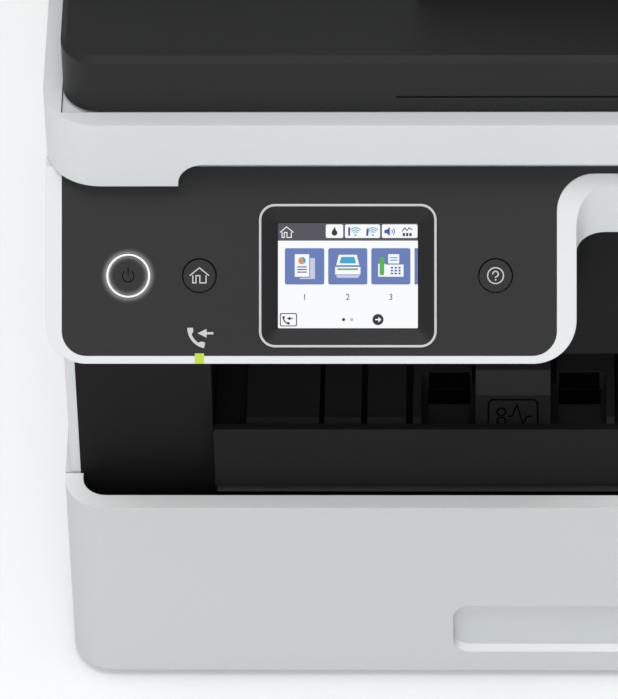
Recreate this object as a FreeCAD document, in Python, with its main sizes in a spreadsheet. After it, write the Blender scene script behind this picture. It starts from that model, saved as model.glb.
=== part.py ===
"""Inkjet printer with ink tanks, flatbed scanner, document feeder and fax, as an assembly.

Frame: +Z up, the front faces -Y, the origin lies under the middle of the printer on the
surface it stands on. Lengths are millimetres, angles degrees.
"""
import os
import re

import FreeCAD
import Part
import Sketcher

SIZES = {
    # Overall
    "width": 375.0, "depth": 347.0, "height": 346.0, "foot_height": 3.0, "foot_half": 8.0,
    "foot_inset": 26.0, "clearance": 0.4, "over": 1.0, "seam": 0.5, "running_fit": 0.05,
    # Base and housing
    "split_height": 90.0, "base_wall": 5.5, "base_rear_wall": 2.5, "base_floor": 3.0,
    "housing_inset": 2.0, "housing_wall": 3.5, "rear_radius": 8.0, "rear_bump": 8.5,
    "pillar_setback": 16.0, "deck_skin": 4.0, "deck_side": 24.0, "deck_front": 40.0, "deck_rear": 30.0,
    # Front fascia and control panel, with heights measured up the slope from the lower edge
    "panel_reach": 38.0, "panel_tilt": 45.0, "panel_rise": 48.5, "nose_skin": 3.0, "chin_drop": 13.0,
    "panel_wide": 184.5, "band_side": 5.6, "band_low": 2.7, "band_right": 6.8, "ridge_band": 4.5,
    "ridge_rise": 61.5, "ridge_drop": 22.0, "ridge_radius": 10.0, "ridge_end": 9.0, "corner_left": 14.0,
    "corner_right": 15.0, "overlay_thick": 1.5, "overlay_gap": 0.1, "overlay_corner": 8.6,
    "overlay_sweep": 13.0, "panel_back": 6.5, "screen_in": 105.1, "screen_rise": 30.6,
    "screen_wide": 48.6, "screen_tall": 36.5, "frame_wide": 61.8, "frame_tall": 49.9, "frame_radius": 5.6,
    "frame_proud": 0.5, "frame_deep": 3.4, "glass_set": 0.9, "glass_thick": 1.2, "frame_line": 0.9,
    "button_rise": 30.6, "power_in": 28.7, "home_in": 53.5, "help_in": 156.4, "power_radius": 6.7,
    "key_radius": 5.6, "button_play": 0.2, "button_proud": 0.25, "button_head": 2.6, "button_stem": 2.4,
    "button_deep": 7.0, "ring_line": 0.8, "lamp_wide": 3.2, "lamp_tall": 3.6, "lamp_deep": 2.5,
    # Scanner
    "above_scanner": 69.0, "scanner_tall": 29.0, "scanner_radius": 19.5, "rim": 6.7, "rim_deep": 1.5,
    "lip_rise": 10.2, "lip_deep": 24.0, "lip_in": 46.5, "lip_radius": 9.0, "scanner_floor": 3.0,
    "scan_wall": 7.0, "frame_thick": 3.0, "platen_in": 25.5, "platen_out": 49.5, "platen_set": 71.5,
    "platen_back": 55.5, "scan_bar": 22.0, "scan_bar_tall": 11.0, "scan_over": 5.0, "rod_radius": 3.0,
    "rod_rise": 9.5, "park_in": 29.5,
    # Document cover and feeder
    "cover_thick": 24.5, "cover_seam": 0.3, "cover_wall": 5.0, "cover_edge": 2.0, "pad_thick": 1.3,
    "pad_inset": 2.0, "groove": 1.0, "groove_rise": 6.2, "groove_in": 122.5, "hinge_radius": 3.5,
    "pin_radius": 1.5, "hinge_x": 118.0, "cover_hinge_x": 70.0, "hinge_long": 14.0, "hinge_back": 5.0,
    "hinge_leg": 15.0, "feeder_in": 9.5, "feeder_wide": 120.0, "feeder_set": 75.5, "feeder_back": 55.5,
    "feeder_rise": 26.0, "feeder_wall": 3.0, "lid_gap": 1.2, "lid_pivot": 2.2, "lid_relief": 1.6,
    "ear": 4.5, "feeder_round": 9.0, "lid_bevel": 4.0, "tray_reach": 168.0, "tray_skin": 3.0,
    "tray_low": 8.0, "tray_high": 36.0, "tray_root": 16.0, "leg_wide": 8.0, "guide_skin": 2.5,
    "guide_tall": 7.0, "guide_out": 36.0, "guide_long": 60.0, "guide_edge": 16.0, "pick_radius": 9.0,
    "pick_long": 40.0, "pick_in": 32.0, "pick_axle": 2.0,
    # Cassette
    "cassette_top": 89.4, "cassette_low": 4.0, "cassette_proud": 2.0, "cassette_radius": 15.0,
    "cassette_rim": 6.5, "grip_wide": 96.0, "grip_low": 14.0, "grip_tall": 24.0, "grip_deep": 4.0,
    "grip_radius": 6.0, "tray_wall": 1.5, "tray_floor": 2.0, "tray_tall": 50.0, "paper_wide": 216.0,
    "fence_thick": 2.5, "fence_tall": 34.0, "fence_foot": 30.0, "fence_long": 110.0, "fence_y": 20.0,
    # Paper output
    "out_in": 54.5, "out_gap": 2.0, "stop_top": 120.0, "stop_low": 90.6, "stop_thick": 3.0,
    "stop_set": 7.5, "stop_radius": 2.0, "stop_pin": 1.1, "stop_knuckle": 2.0, "stop_ear": 4.0,
    "lug_wide": 10.0, "lug_spread": 50.0, "slide_floor": 2.5, "slide_gap": 0.4, "slide_rear": 40.0,
    "extension_side": 37.0, "block_depth": 80.0, "block_skin": 2.5, "skirt_drop": 12.0, "exit_low": 150.0,
    "exit_skin": 3.5, "front_drop": 7.5, "guide_rear": -42.0, "guide_set": 19.5, "guide_floor": 3.0,
    "guide_step": 7.0, "slot_narrow": 1.8, "slot_wide": 2.1, "guide_in": 11.0, "guide_wide": 26.3,
    "guide_mid": 13.3, "guide_end": 14.0, "pocket_in": 71.0, "pocket_wide": 21.0, "pocket_deep": 30.0,
    "pocket_floor": 1.0, "pocket_edge": 3.0, "rib_in": 146.0, "rib_out": 9.0, "rib_wide": 32.0,
    "jam_set": 4.0, "jam_in": 93.5, "jam_wide": 27.0, "jam_lip": 3.6, "jam_run": 14.0, "jam_crease": 7.0,
    "jam_curl": 7.0, "jam_step": 13.0,
    # Ink tanks
    "tank_wide": 92.5, "tank_rear": -26.0, "tank_wall": 2.5, "tank_gap": 0.8, "tank_low": 91.0,
    "frame_top": 192.0, "tank_top": 186.0, "tank_set": 5.0, "neck_half": 5.0, "neck_tall": 6.0,
    "cap_tall": 9.0, "cap_long": 26.0, "cap_side": 2.5, "cap_set": 14.0, "cap_knuckle": 2.0,
    "cap_pin": 1.0, "door_thick": 9.0, "door_wall": 2.5, "door_low": 93.0, "door_axis": 3.0,
    "door_edge": 2.9, "ear_wide": 2.7, "door_gap": 0.3, "door_pin": 1.5, "pin_reach": 6.0,
    "window_low": 20.0, "window_tall": 56.0, "window_side": 10.0, "window_thick": 1.5, "window_lap": 3.0,
    # Print engine
    "chassis_side": 15.5, "chassis_skin": 2.0, "chassis_low": 98.0, "chassis_top": 205.0,
    "chassis_front": -22.0, "chassis_rear": 112.0, "shaft_radius": 4.0, "shaft_y": 62.0,
    "shaft_height": 150.0, "carriage_park": 83.5, "carriage_wide": 62.0, "carriage_front": -6.0,
    "carriage_rear": 73.6, "carriage_low": 124.0, "carriage_rise": 12.0, "carriage_edge": 6.0,
    "head_inset": 12.0, "head_tall": 6.0, "belt_height": 176.0, "belt_tall": 5.0, "belt_thick": 1.5,
    "belt_side": 17.0, "belt_y": 98.0, "belt_radius": 5.0, "clamp_wide": 20.0, "clamp_tall": 10.0,
    "pulley_play": 0.3, "pulley_tall": 7.0, "axle_radius": 1.5, "motor_radius": 12.0, "motor_tall": 30.0,
    "bed_in": 59.5, "bed_out": 87.5, "bed_front": 2.0, "bed_rear": 58.0, "bed_top": 114.0,
    "bed_wall": 3.0, "feed_y": 70.0, "roller_height": 110.0, "feed_radius": 6.0, "eject_y": -12.0,
    "eject_radius": 5.0, "eject_axle": 2.5, "wheel_wide": 10.0, "wheel_count": 3, "end_play": 0.3,
    "cap_unit_top": 117.4, "cap_unit_rear": 50.0, "cap_wall": 4.0,
    # Electrics and rear
    "supply_wide": 83.5, "supply_front": 118.0, "supply_top": 146.0, "inlet_wide": 28.0,
    "inlet_tall": 20.0, "board_in": 15.5, "board_wide": 108.0, "board_low": 96.0, "board_tall": 60.0,
    "board_thick": 1.6, "board_gap": 4.0, "port_tall": 13.0, "port_wide": 15.0, "port_pitch": 21.0,
    "port_low": 8.0, "rear_in": 135.5, "rear_out": 95.5, "rear_low": 100.0, "rear_top": 186.0,
    "rear_deep": 22.0, "rear_edge": 4.0,
}

# Places and spans that follow from the sizes above, kept in the same sheet
PLACES = {
    "scanner_top": "height - above_scanner", "scanner_bottom": "scanner_top - scanner_tall",
    "deck_top": "scanner_bottom - seam", "nose_height": "deck_top - panel_rise",
    "chin_height": "nose_height - chin_drop", "front_top": "deck_top - front_drop",
    "rod_height": "scanner_bottom + rod_rise", "panel_right": "panel_wide - width/2",
    "screen_x": "screen_in - width/2", "power_x": "power_in - width/2", "home_x": "home_in - width/2",
    "help_x": "help_in - width/2", "lip_left": "lip_in - width/2", "platen_left": "platen_in - width/2",
    "platen_long": "width - platen_in - platen_out", "platen_front": "platen_set - depth/2",
    "platen_deep": "depth - platen_set - platen_back", "scan_park": "park_in - width/2",
    "groove_left": "groove_in - width/2", "feeder_left": "feeder_in - width/2",
    "feeder_right": "feeder_left + feeder_wide", "feeder_front": "feeder_set - depth/2",
    "feeder_rear": "depth/2 - feeder_back", "guide_x": "feeder_right + guide_out",
    "pick_x": "feeder_right - pick_in", "guide_half": "(feeder_rear - feeder_front)/2 - guide_edge",
    "tank_left": "width/2 - tank_wide", "out_left": "out_in - width/2",
    "out_right": "tank_left - out_gap", "extension_left": "out_left + extension_side",
    "extension_right": "out_right - extension_side", "guide_a": "out_left + guide_in",
    "guide_b": "guide_a + guide_wide", "guide_c": "guide_b + slot_narrow + guide_mid",
    "guide_d": "guide_c + slot_wide + guide_end", "pocket_left": "out_left + pocket_in",
    "pocket_right": "pocket_left + pocket_wide", "jam_left": "out_left + jam_in",
    "jam_right": "jam_left + jam_wide", "cove_left": "jam_right + slot_wide",
    "cove_right": "cove_left + pocket_wide", "guide_front": "panel_reach + guide_set - depth/2",
    "rib_left": "out_left + rib_in", "rib_right": "out_right - rib_out",
    "chassis_half": "width/2 - chassis_side", "belt_half": "chassis_half - belt_side",
    "carriage_left": "width/2 - carriage_park", "carriage_top": "belt_height + carriage_rise",
    "bed_left": "bed_in - width/2", "bed_right": "width/2 - bed_out",
    "supply_left": "width/2 - supply_wide", "board_left": "board_in - width/2",
    "board_right": "board_left + board_wide", "rear_left": "rear_in - width/2",
    "rear_right": "width/2 - rear_out",
}

doc = FreeCAD.newDocument("InkjetPrinter")
sheet = doc.addObject("Spreadsheet::Sheet", "Sizes")
cells = {alias: str(number) for alias, number in SIZES.items()}
cells.update((alias, f"={rule}") for alias, rule in PLACES.items())
for row, (alias, content) in enumerate(cells.items(), start=1):
    sheet.set(f"A{row}", alias)
    sheet.set(f"B{row}", content)
    sheet.setAlias(f"B{row}", alias)
doc.recompute()

# Places that several pieces share, as formulas of the sizes above
LEFT, RIGHT = "(-width/2)", "(width/2)"
FRONT, REAR = "(-depth/2)", "(depth/2)"
BODY_FRONT = "(-depth/2 + panel_reach)"
PILLAR = "(-depth/2 + panel_reach + pillar_setback)"
BACK = "(depth/2 - rear_bump)"
INNER = "(width/2 - housing_inset - housing_wall)"
SLOPE_RISE = "sin(panel_tilt*1deg)"
SLOPE_RUN = "cos(panel_tilt*1deg)"
SLOPE_TOP = f"((deck_top - nose_height)/{SLOPE_RISE})"
RIDGE_FRONT = f"(-depth/2 + ridge_rise*{SLOPE_RUN})"
BRIDGE_LOW = f"(nose_height + ridge_rise*{SLOPE_RISE} - ridge_drop)"
HINGE_Y = f"({BACK} + hinge_back)"
SCANNER_AXIS = "(scanner_bottom + 2*hinge_radius)"
COVER_LOW = "(scanner_top - rim_deep + pad_thick + cover_seam)"
COVER_TOP = f"({COVER_LOW} + cover_thick)"
COVER_FRONT = f"({BODY_FRONT} + rim + cover_seam)"
COVER_HALF = "(width/2 - rim - cover_seam)"
COVER_AXIS = f"({COVER_LOW} + 2*hinge_radius)"

pieces = {}
SAME_PLACE = 0.02


def formula(text):
    """Return text with each size name pointing at its cell in the sheet."""
    return re.sub(r"[a-z_][a-z_0-9]*", lambda word: f"Sizes.{word[0]}" if word[0] in cells else word[0], text)


def amount(text):
    """Return the present number behind a formula."""
    return float(sheet.evalExpression(formula(text)))


def bind(item, **formulas):
    """Tie properties of item to formulas; two underscores stand for a dot."""
    for name, text in formulas.items():
        item.setExpression(name.replace("__", "."), formula(text))


def rect(x0, x1, y0, y1):
    """Return the four corners of a rectangle."""
    return [(x0, y0), (x1, y0), (x1, y1), (x0, y1)]


def ordered(sign, near, far):
    """Return a span outwards from the middle, its lower end first."""
    return (far, near) if sign == "-" else (near, far)


def along(axis, **spots):
    """Return a test for straight edges along axis whose middle lies at the given formulas."""
    direction = FreeCAD.Vector(*(float(axis == name) for name in "XYZ"))
    wanted = {name: amount(text) for name, text in spots.items()}

    def test(edge):
        if not isinstance(edge.Curve, Part.Line) or edge.Curve.Direction.cross(direction).Length > SAME_PLACE:
            return False
        middle = edge.BoundBox.Center
        return all(abs(getattr(middle, name) - number) < SAME_PLACE for name, number in wanted.items())

    return test


def level(z):
    """Return a test for edges that lie wholly at height z."""
    height = amount(z)
    return lambda edge: max(abs(edge.BoundBox.ZMin - height), abs(edge.BoundBox.ZMax - height)) < SAME_PLACE


class Piece:
    """A sub-part whose body grows by outlines drawn parallel to its origin planes."""

    ROLES = {"XY": "XY_Plane", "XZ": "XZ_Plane", "YZ": "YZ_Plane"}

    def __init__(self, label, on_panel=False, keep=True):
        self.body = doc.addObject("PartDesign::Body", label)
        self.body.AllowCompound = True
        if on_panel:
            tilt = FreeCAD.Rotation(FreeCAD.Vector(1, 0, 0), SIZES["panel_tilt"])
            self.body.Placement = FreeCAD.Placement(FreeCAD.Vector(), tilt)
            bind(self.body, Placement__Rotation__Angle="panel_tilt", Placement__Base__y=FRONT,
                 Placement__Base__z="nose_height")
        if keep:
            pieces[label] = self.body

    def sketch(self, plane, start, end):
        """Return an empty sketch at the start of the span from start to end along the plane's axis."""
        sketch = self.body.newObject("Sketcher::SketchObject", f"{self.body.Label}_sketch")
        role = self.ROLES[plane]
        support = next(part for part in self.body.Origin.OriginFeatures if part.Role == role)
        sketch.AttachmentSupport = (support, [""])
        sketch.MapMode = "FlatFace"
        # The normal of the XZ plane points to -Y, so its span starts from the far end
        bind(sketch, AttachmentOffset__Base__z=f"-({end})" if plane == "XZ" else start)
        return sketch

    def raise_sketch(self, sketch, start, end, carve):
        """Pad or pocket a sketch over the span from start to end."""
        kind = "Pocket" if carve else "Pad"
        feature = self.body.newObject(f"PartDesign::{kind}", f"{self.body.Label}_{kind.lower()}")
        feature.Profile = sketch
        feature.Reversed = carve
        bind(feature, Length=f"({end}) - ({start})")
        return self

    def outline(self, plane, points, start, end, carve=False):
        """Add, or carve away, a straight-sided outline."""
        sketch = self.sketch(plane, start, end)
        count = len(points)
        spots = [FreeCAD.Vector(amount(x), amount(y), 0) for x, y in points]
        for index in range(count):
            sketch.addGeometry(Part.LineSegment(spots[index], spots[(index + 1) % count]))
        for index in range(count):
            sketch.addConstraint(Sketcher.Constraint("Coincident", index, 2, (index + 1) % count, 1))
        for index, (x, y) in enumerate(points):
            for kind, text, place in (("DistanceX", x, spots[index].x), ("DistanceY", y, spots[index].y)):
                number = sketch.addConstraint(Sketcher.Constraint(kind, -1, 1, index, 1, place))
                sketch.setExpression(f"Constraints[{number}]", formula(text))
        return self.raise_sketch(sketch, start, end, carve)

    def disc(self, plane, centre, radius, start, end, carve=False, inner=None):
        """Add, or carve away, a round outline, a ring if it has an inner radius."""
        sketch = self.sketch(plane, start, end)
        spot = FreeCAD.Vector(amount(centre[0]), amount(centre[1]), 0)
        for text in [radius] + ([inner] if inner else []):
            circle = sketch.addGeometry(Part.Circle(spot, FreeCAD.Vector(0, 0, 1), amount(text)))
            number = sketch.addConstraint(Sketcher.Constraint("Radius", circle, amount(text)))
            sketch.setExpression(f"Constraints[{number}]", formula(text))
            for kind, place, value in (("DistanceX", centre[0], spot.x), ("DistanceY", centre[1], spot.y)):
                number = sketch.addConstraint(Sketcher.Constraint(kind, -1, 1, circle, 3, value))
                sketch.setExpression(f"Constraints[{number}]", formula(place))
        return self.raise_sketch(sketch, start, end, carve)

    def box(self, x, y, z, carve=False):
        """Add, or carve away, a block given by its spans."""
        return self.outline("XY", rect(*x, *y), *z, carve=carve)

    def dress(self, kind, size, *tests):
        """Round or bevel every edge that passes one of the tests."""
        doc.recompute()
        base = self.body.Tip
        names = [f"Edge{number}" for number, edge in enumerate(base.Shape.Edges, start=1)
                 if any(test(edge) for test in tests)]
        if not names:
            raise RuntimeError(f"no edge to dress on {self.body.Label}")
        feature = self.body.newObject(f"PartDesign::{kind}", f"{self.body.Label}_{kind.lower()}")
        feature.Base = (base, names)
        bind(feature, **{"Radius" if kind == "Fillet" else "Size": size})
        self.body.Tip = feature
        return self

    def fillet(self, size, *tests):
        """Round edges."""
        return self.dress("Fillet", size, *tests)

    def chamfer(self, size, *tests):
        """Bevel edges."""
        return self.dress("Chamfer", size, *tests)


def join(kind, label, base, *tools):
    """Combine pieces into a new sub-part by a boolean: Cut, Common or MultiFuse."""
    feature = doc.addObject(f"Part::{kind}", label)
    if kind == "MultiFuse":
        feature.Shapes = [base, *tools]
    elif len(tools) == 1:
        feature.Base, feature.Tool = base, tools[0]
    else:
        group = doc.addObject("Part::MultiFuse", f"{label}_tools")
        group.Shapes = list(tools)
        feature.Base, feature.Tool = base, group
    pieces[label] = feature
    return feature


def make_base():
    """Lower case: a tray open to the front, where the cassette slides in, on four feet."""
    base = Piece("base")
    base.box((LEFT, RIGHT), (PILLAR, REAR), ("foot_height", "split_height - seam"))
    inside = "(width/2 - base_wall)"
    base.box((f"-{inside}", inside), (f"{PILLAR} - over", f"{REAR} - base_rear_wall"),
             ("foot_height + base_floor", "split_height"), carve=True)
    base.fillet("rear_radius", along("Z", x=LEFT, y=REAR), along("Z", x=RIGHT, y=REAR))
    feet = Piece("rubber_feet")
    for x in (f"{LEFT} + foot_inset", f"{RIGHT} - foot_inset"):
        for y in (f"{PILLAR} + foot_inset", f"{REAR} - foot_inset"):
            feet.box((f"{x} - foot_half", f"{x} + foot_half"), (f"{y} - foot_half", f"{y} + foot_half"),
                     ("0", "foot_height"))


def make_housing():
    """Upper case: side and rear walls under a deck with the service opening."""
    housing = Piece("housing")
    half = "(width/2 - housing_inset)"
    housing.box((f"-{half}", half), (PILLAR, BACK), ("split_height", "deck_top"))
    housing.box((f"-{INNER}", INNER), (f"{PILLAR} - over", f"{BACK} - housing_wall"),
                ("split_height - over", "deck_top - deck_skin"), carve=True)
    housing.box((f"-{INNER} + deck_side", f"{INNER} - deck_side"),
                (f"{PILLAR} + deck_front", f"{BACK} - deck_rear"),
                ("deck_top - deck_skin - over", "deck_top + over"), carve=True)
    housing.fillet("rear_radius", along("Z", x=f"-{half}", y=BACK), along("Z", x=half, y=BACK))
    return housing


def make_fascia():
    """Front casing: the sloping panel block at the left and the ridge that sweeps to the right."""
    plan = Piece("fascia_plan", keep=False)
    plan.outline("XY", [(LEFT, FRONT), ("panel_right", FRONT), ("panel_right", RIDGE_FRONT),
                        (RIGHT, RIDGE_FRONT), (RIGHT, PILLAR), (LEFT, PILLAR)], "chin_height", "deck_top")
    plan.fillet("ridge_radius", along("Z", x="panel_right", y=RIDGE_FRONT))
    plan.fillet("ridge_end", along("Z", x=RIGHT, y=RIDGE_FRONT))
    slope_end = f"({FRONT} + (deck_top - nose_height)/tan(panel_tilt*1deg))"
    reach = "(deck_top - nose_height)"
    plan.outline("YZ", [(f"{FRONT} - {reach}", f"nose_height - {reach}*tan(panel_tilt*1deg)"),
                        (f"{slope_end} + {reach}", f"deck_top + {reach}*tan(panel_tilt*1deg)"),
                        (f"{FRONT} - {reach}", f"deck_top + {reach}*tan(panel_tilt*1deg)")],
                 f"{LEFT} - over", f"{RIGHT} + over", carve=True)
    nose = (f"{FRONT} + nose_skin*{SLOPE_RISE}", f"nose_height - nose_skin*{SLOPE_RUN}")
    plan.outline("YZ", [nose, (f"{PILLAR} + over", "chin_height"), (f"{PILLAR} + over", "chin_height - over"),
                        (f"{FRONT} - over", "chin_height - over"), (f"{FRONT} - over", nose[1])],
                 f"{LEFT} - over", f"{RIGHT} + over", carve=True)
    plan.box(("panel_right", f"{RIGHT} + over"), (f"{FRONT} - over", f"{PILLAR} + over"),
             ("chin_height - over", BRIDGE_LOW), carve=True)
    face = Piece("fascia_face", on_panel=True, keep=False)
    step = "(ridge_rise/2)"
    face.outline("XY", [(LEFT, "0"), ("panel_right", "0"), ("panel_right", step), (RIGHT, step),
                        (RIGHT, f"{SLOPE_TOP} + panel_reach"), (LEFT, f"{SLOPE_TOP} + panel_reach")],
                 "-2*panel_reach", "over")
    face.fillet("corner_left", along("Z", x=LEFT, y="0"))
    face.fillet("corner_right", along("Z", x="panel_right", y="0"))
    solid = join("Common", "fascia_solid", plan.body, face.body)
    del pieces["fascia_solid"]

    hollow = Piece("fascia_hollow", keep=False)
    top = "(deck_top - panel_back - deck_skin)"
    back = f"{PILLAR} + over"
    hollow.outline("YZ", [(back, "chin_height + deck_skin"),
                          (f"{FRONT} + panel_back*2", "nose_height + deck_skin"),
                          (f"{slope_end} - panel_back/2", top), (back, top)],
                   f"{LEFT} + deck_skin", "panel_right - deck_skin")
    recess = overlay_shape("fascia_recess", "0")
    recess.box(*screen_span("clearance"), ("-panel_reach/2", "0"))
    for x, radius in button_places():
        recess.box((f"{x} - ({radius} + button_play)", f"{x} + {radius} + button_play"),
                   (f"button_rise - ({radius} + button_play)", f"button_rise + {radius} + button_play"),
                   ("-panel_reach/2", "0"))
    recess.box(("home_x - lamp_wide/2", "home_x + lamp_wide/2"), ("-over", "lamp_tall"),
               ("-lamp_deep", "over"))
    return join("Cut", "front_fascia", solid, hollow.body, recess.body)


def overlay_shape(label, gap, keep=False):
    """Return the sheet that fills the panel's black face, smaller all round by gap."""
    sheet_piece = Piece(label, on_panel=True, keep=keep)
    left, right = f"({LEFT} + band_side + {gap})", f"(panel_right - band_right - {gap})"
    low, ridge = f"(band_low + {gap})", f"(ridge_rise + ridge_band + {gap})"
    sheet_piece.outline("XY", [(left, low), (right, low), (right, ridge),
                               (f"{RIGHT} - band_side - {gap}", ridge),
                               (f"{RIGHT} - band_side - {gap}", SLOPE_TOP), (left, SLOPE_TOP)],
                        "-overlay_thick", "0")
    sheet_piece.fillet(f"overlay_corner - {gap}", along("Z", x=left, y=low), along("Z", x=right, y=low))
    sheet_piece.fillet(f"overlay_sweep + {gap}", along("Z", x=right, y=ridge))
    return sheet_piece


def screen_span(gap):
    """Return the two spans of the screen frame's seat."""
    return ((f"screen_x - frame_wide/2 - {gap}", f"screen_x + frame_wide/2 + {gap}"),
            (f"screen_rise - frame_tall/2 - {gap}", f"screen_rise + frame_tall/2 + {gap}"))


def button_places():
    """Return the place across the panel and the outer radius of each button's seat."""
    return (("power_x", "power_radius + button_play + ring_line"), ("home_x", "key_radius"),
            ("help_x", "key_radius"))


def make_panel():
    """Control panel: black sheet, screen in its frame, buttons, light ring and message lamp."""
    overlay = overlay_shape("panel_overlay", "overlay_gap", keep=True)
    overlay.box(*screen_span("overlay_gap"), ("-overlay_thick - over", "over"), carve=True)
    overlay.fillet("frame_radius", *(along("Z", x=x, y=y) for x in screen_span("overlay_gap")[0]
                                     for y in screen_span("overlay_gap")[1]))
    for x, radius in button_places():
        overlay.disc("XY", (x, "button_rise"), f"{radius} + button_play", "-overlay_thick - over", "over",
                     carve=True)
    overlay.box(("home_x - lamp_wide/2", "home_x + lamp_wide/2"), ("0", "lamp_tall"),
                ("-overlay_thick - over", "over"), carve=True)

    frame = Piece("lcd_frame", on_panel=True)
    frame.box(*screen_span("0"), ("-frame_deep", "frame_proud"))
    frame.fillet("frame_radius", *(along("Z", x=x, y=y) for x in screen_ends() for y in screen_ends("tall")))
    window = (("screen_x - screen_wide/2", "screen_x + screen_wide/2"),
              ("screen_rise - screen_tall/2", "screen_rise + screen_tall/2"))
    frame.box(*window, ("-frame_deep - over", "over"), carve=True)
    seat = (("screen_x - screen_wide/2 - frame_line", "screen_x + screen_wide/2 + frame_line"),
            ("screen_rise - screen_tall/2 - frame_line", "screen_rise + screen_tall/2 + frame_line"))
    frame.box(*seat, ("-frame_deep - over", "-glass_set"), carve=True)
    screen = Piece("lcd_screen", on_panel=True)
    screen.box(*seat, ("-glass_set - glass_thick", "-glass_set"))

    for label, x, radius in (("power_button", "power_x", "power_radius"),
                             ("home_button", "home_x", "key_radius"),
                             ("help_button", "help_x", "key_radius")):
        button = Piece(label, on_panel=True)
        button.disc("XY", (x, "button_rise"), radius, "-button_head", "button_proud")
        button.box((f"{x} - button_stem", f"{x} + button_stem"),
                   ("button_rise - button_stem", "button_rise + button_stem"),
                   ("-button_deep", "-button_head"))
    ring = Piece("power_ring", on_panel=True)
    ring.disc("XY", ("power_x", "button_rise"), "power_radius + button_play + ring_line", "-button_head", "0",
              inner="power_radius + button_play")
    lamp = Piece("message_lamp", on_panel=True)
    lamp.box(("home_x - lamp_wide/2", "home_x + lamp_wide/2"), ("0", "lamp_tall"), ("-lamp_deep", "0"))


def screen_ends(name="wide"):
    """Return both ends of the screen frame, across or up the panel."""
    middle = "screen_x" if name == "wide" else "screen_rise"
    return [f"{middle} {sign} frame_{name}/2" for sign in "-+"]


def make_scanner():
    """Flatbed scanner: case with a finger cut-out, top frame, glass, scan bar and its rod."""
    case = Piece("scanner_case")
    case.box((LEFT, RIGHT), (BODY_FRONT, BACK), ("scanner_bottom", "scanner_top"))
    case.fillet("scanner_radius", along("Z", x=LEFT, y=BODY_FRONT), along("Z", x=RIGHT, y=BODY_FRONT))
    case.fillet("rear_radius", along("Z", x=LEFT, y=BACK), along("Z", x=RIGHT, y=BACK))
    case.box((f"-{COVER_HALF} - cover_seam", f"{COVER_HALF} + cover_seam"),
             (f"{BODY_FRONT} + rim", f"{BACK} + over"),
             ("scanner_top - rim_deep - frame_thick", "scanner_top + over"), carve=True)
    inside = "(width/2 - scan_wall)"
    case.box((f"-{inside}", inside), (f"{BODY_FRONT} + lip_deep + scanner_floor", f"{BACK} - scan_wall"),
             ("scanner_bottom + scanner_floor", "scanner_top"), carve=True)
    case.box(("lip_left", "-lip_left"), (f"{BODY_FRONT} - over", f"{BODY_FRONT} + lip_deep"),
             ("scanner_bottom - over", "scanner_bottom + lip_rise"), carve=True)
    roof = "scanner_bottom + lip_rise"
    case.fillet("lip_radius", along("Y", x="lip_left", z=roof), along("Y", x="-lip_left", z=roof))
    moving_knuckles(case, "hinge_x", SCANNER_AXIS)
    fixed_knuckles("scanner_hinges", "hinge_x", SCANNER_AXIS)

    span = ("scanner_top - rim_deep - frame_thick", "scanner_top - rim_deep")
    window = (("platen_left", "platen_left + platen_long"), ("platen_front", "platen_front + platen_deep"))
    top = Piece("scanner_top_frame")
    top.box((f"-{COVER_HALF}", COVER_HALF), (COVER_FRONT, f"{BACK} - cover_seam"), span)
    top.box(*window, (f"{span[0]} - over", f"{span[1]} + over"), carve=True)
    glass = Piece("scanner_glass")
    glass.box(*window, span)

    rod = Piece("scan_rod")
    rod_y = "(platen_front + platen_deep/2)"
    rod.disc("YZ", (rod_y, "rod_height"), "rod_radius", f"-{inside}", inside)
    bar = Piece("scan_carriage")
    bar.box(("scan_park - scan_bar/2", "scan_park + scan_bar/2"),
            ("platen_front - scan_over", "platen_front + platen_deep + scan_over"),
            ("rod_height - scan_bar_tall/2", "rod_height + scan_bar_tall"))
    bar.disc("YZ", (rod_y, "rod_height"), "rod_radius + running_fit", LEFT, RIGHT, carve=True)


def moving_knuckles(piece, middle_x, z):
    """Add the bored knuckles of a hinged piece, one at each side."""
    for sign in "-+":
        start, end = f"{sign}{middle_x} - hinge_long/2", f"{sign}{middle_x} + hinge_long/2"
        piece.box((start, end), (f"{BACK} - seam - over", HINGE_Y),
                  (f"{z} - hinge_radius", f"{z} + hinge_radius"))
        piece.disc("YZ", (HINGE_Y, z), "hinge_radius", start, end)
        piece.disc("YZ", (HINGE_Y, z), "pin_radius + running_fit", start, end, carve=True)


def fixed_knuckles(label, middle_x, z):
    """Fixed knuckle outside each moving one, with its pin, on a leg against the rear wall."""
    hinges = Piece(label)
    for sign, inwards in ("-+", "+-"):
        middle = f"({sign}{middle_x})"
        far = f"{middle} {sign} 3*hinge_long/2"
        span = ordered(sign, f"{middle} {sign} (hinge_long/2 + seam)", far)
        hinges.box(span, (BACK, HINGE_Y), (f"{z} - hinge_leg", z))
        hinges.disc("YZ", (HINGE_Y, z), "hinge_radius", *span)
        hinges.disc("YZ", (HINGE_Y, z), "pin_radius", *ordered(sign, f"{middle} {inwards} hinge_long/2", far))


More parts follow.
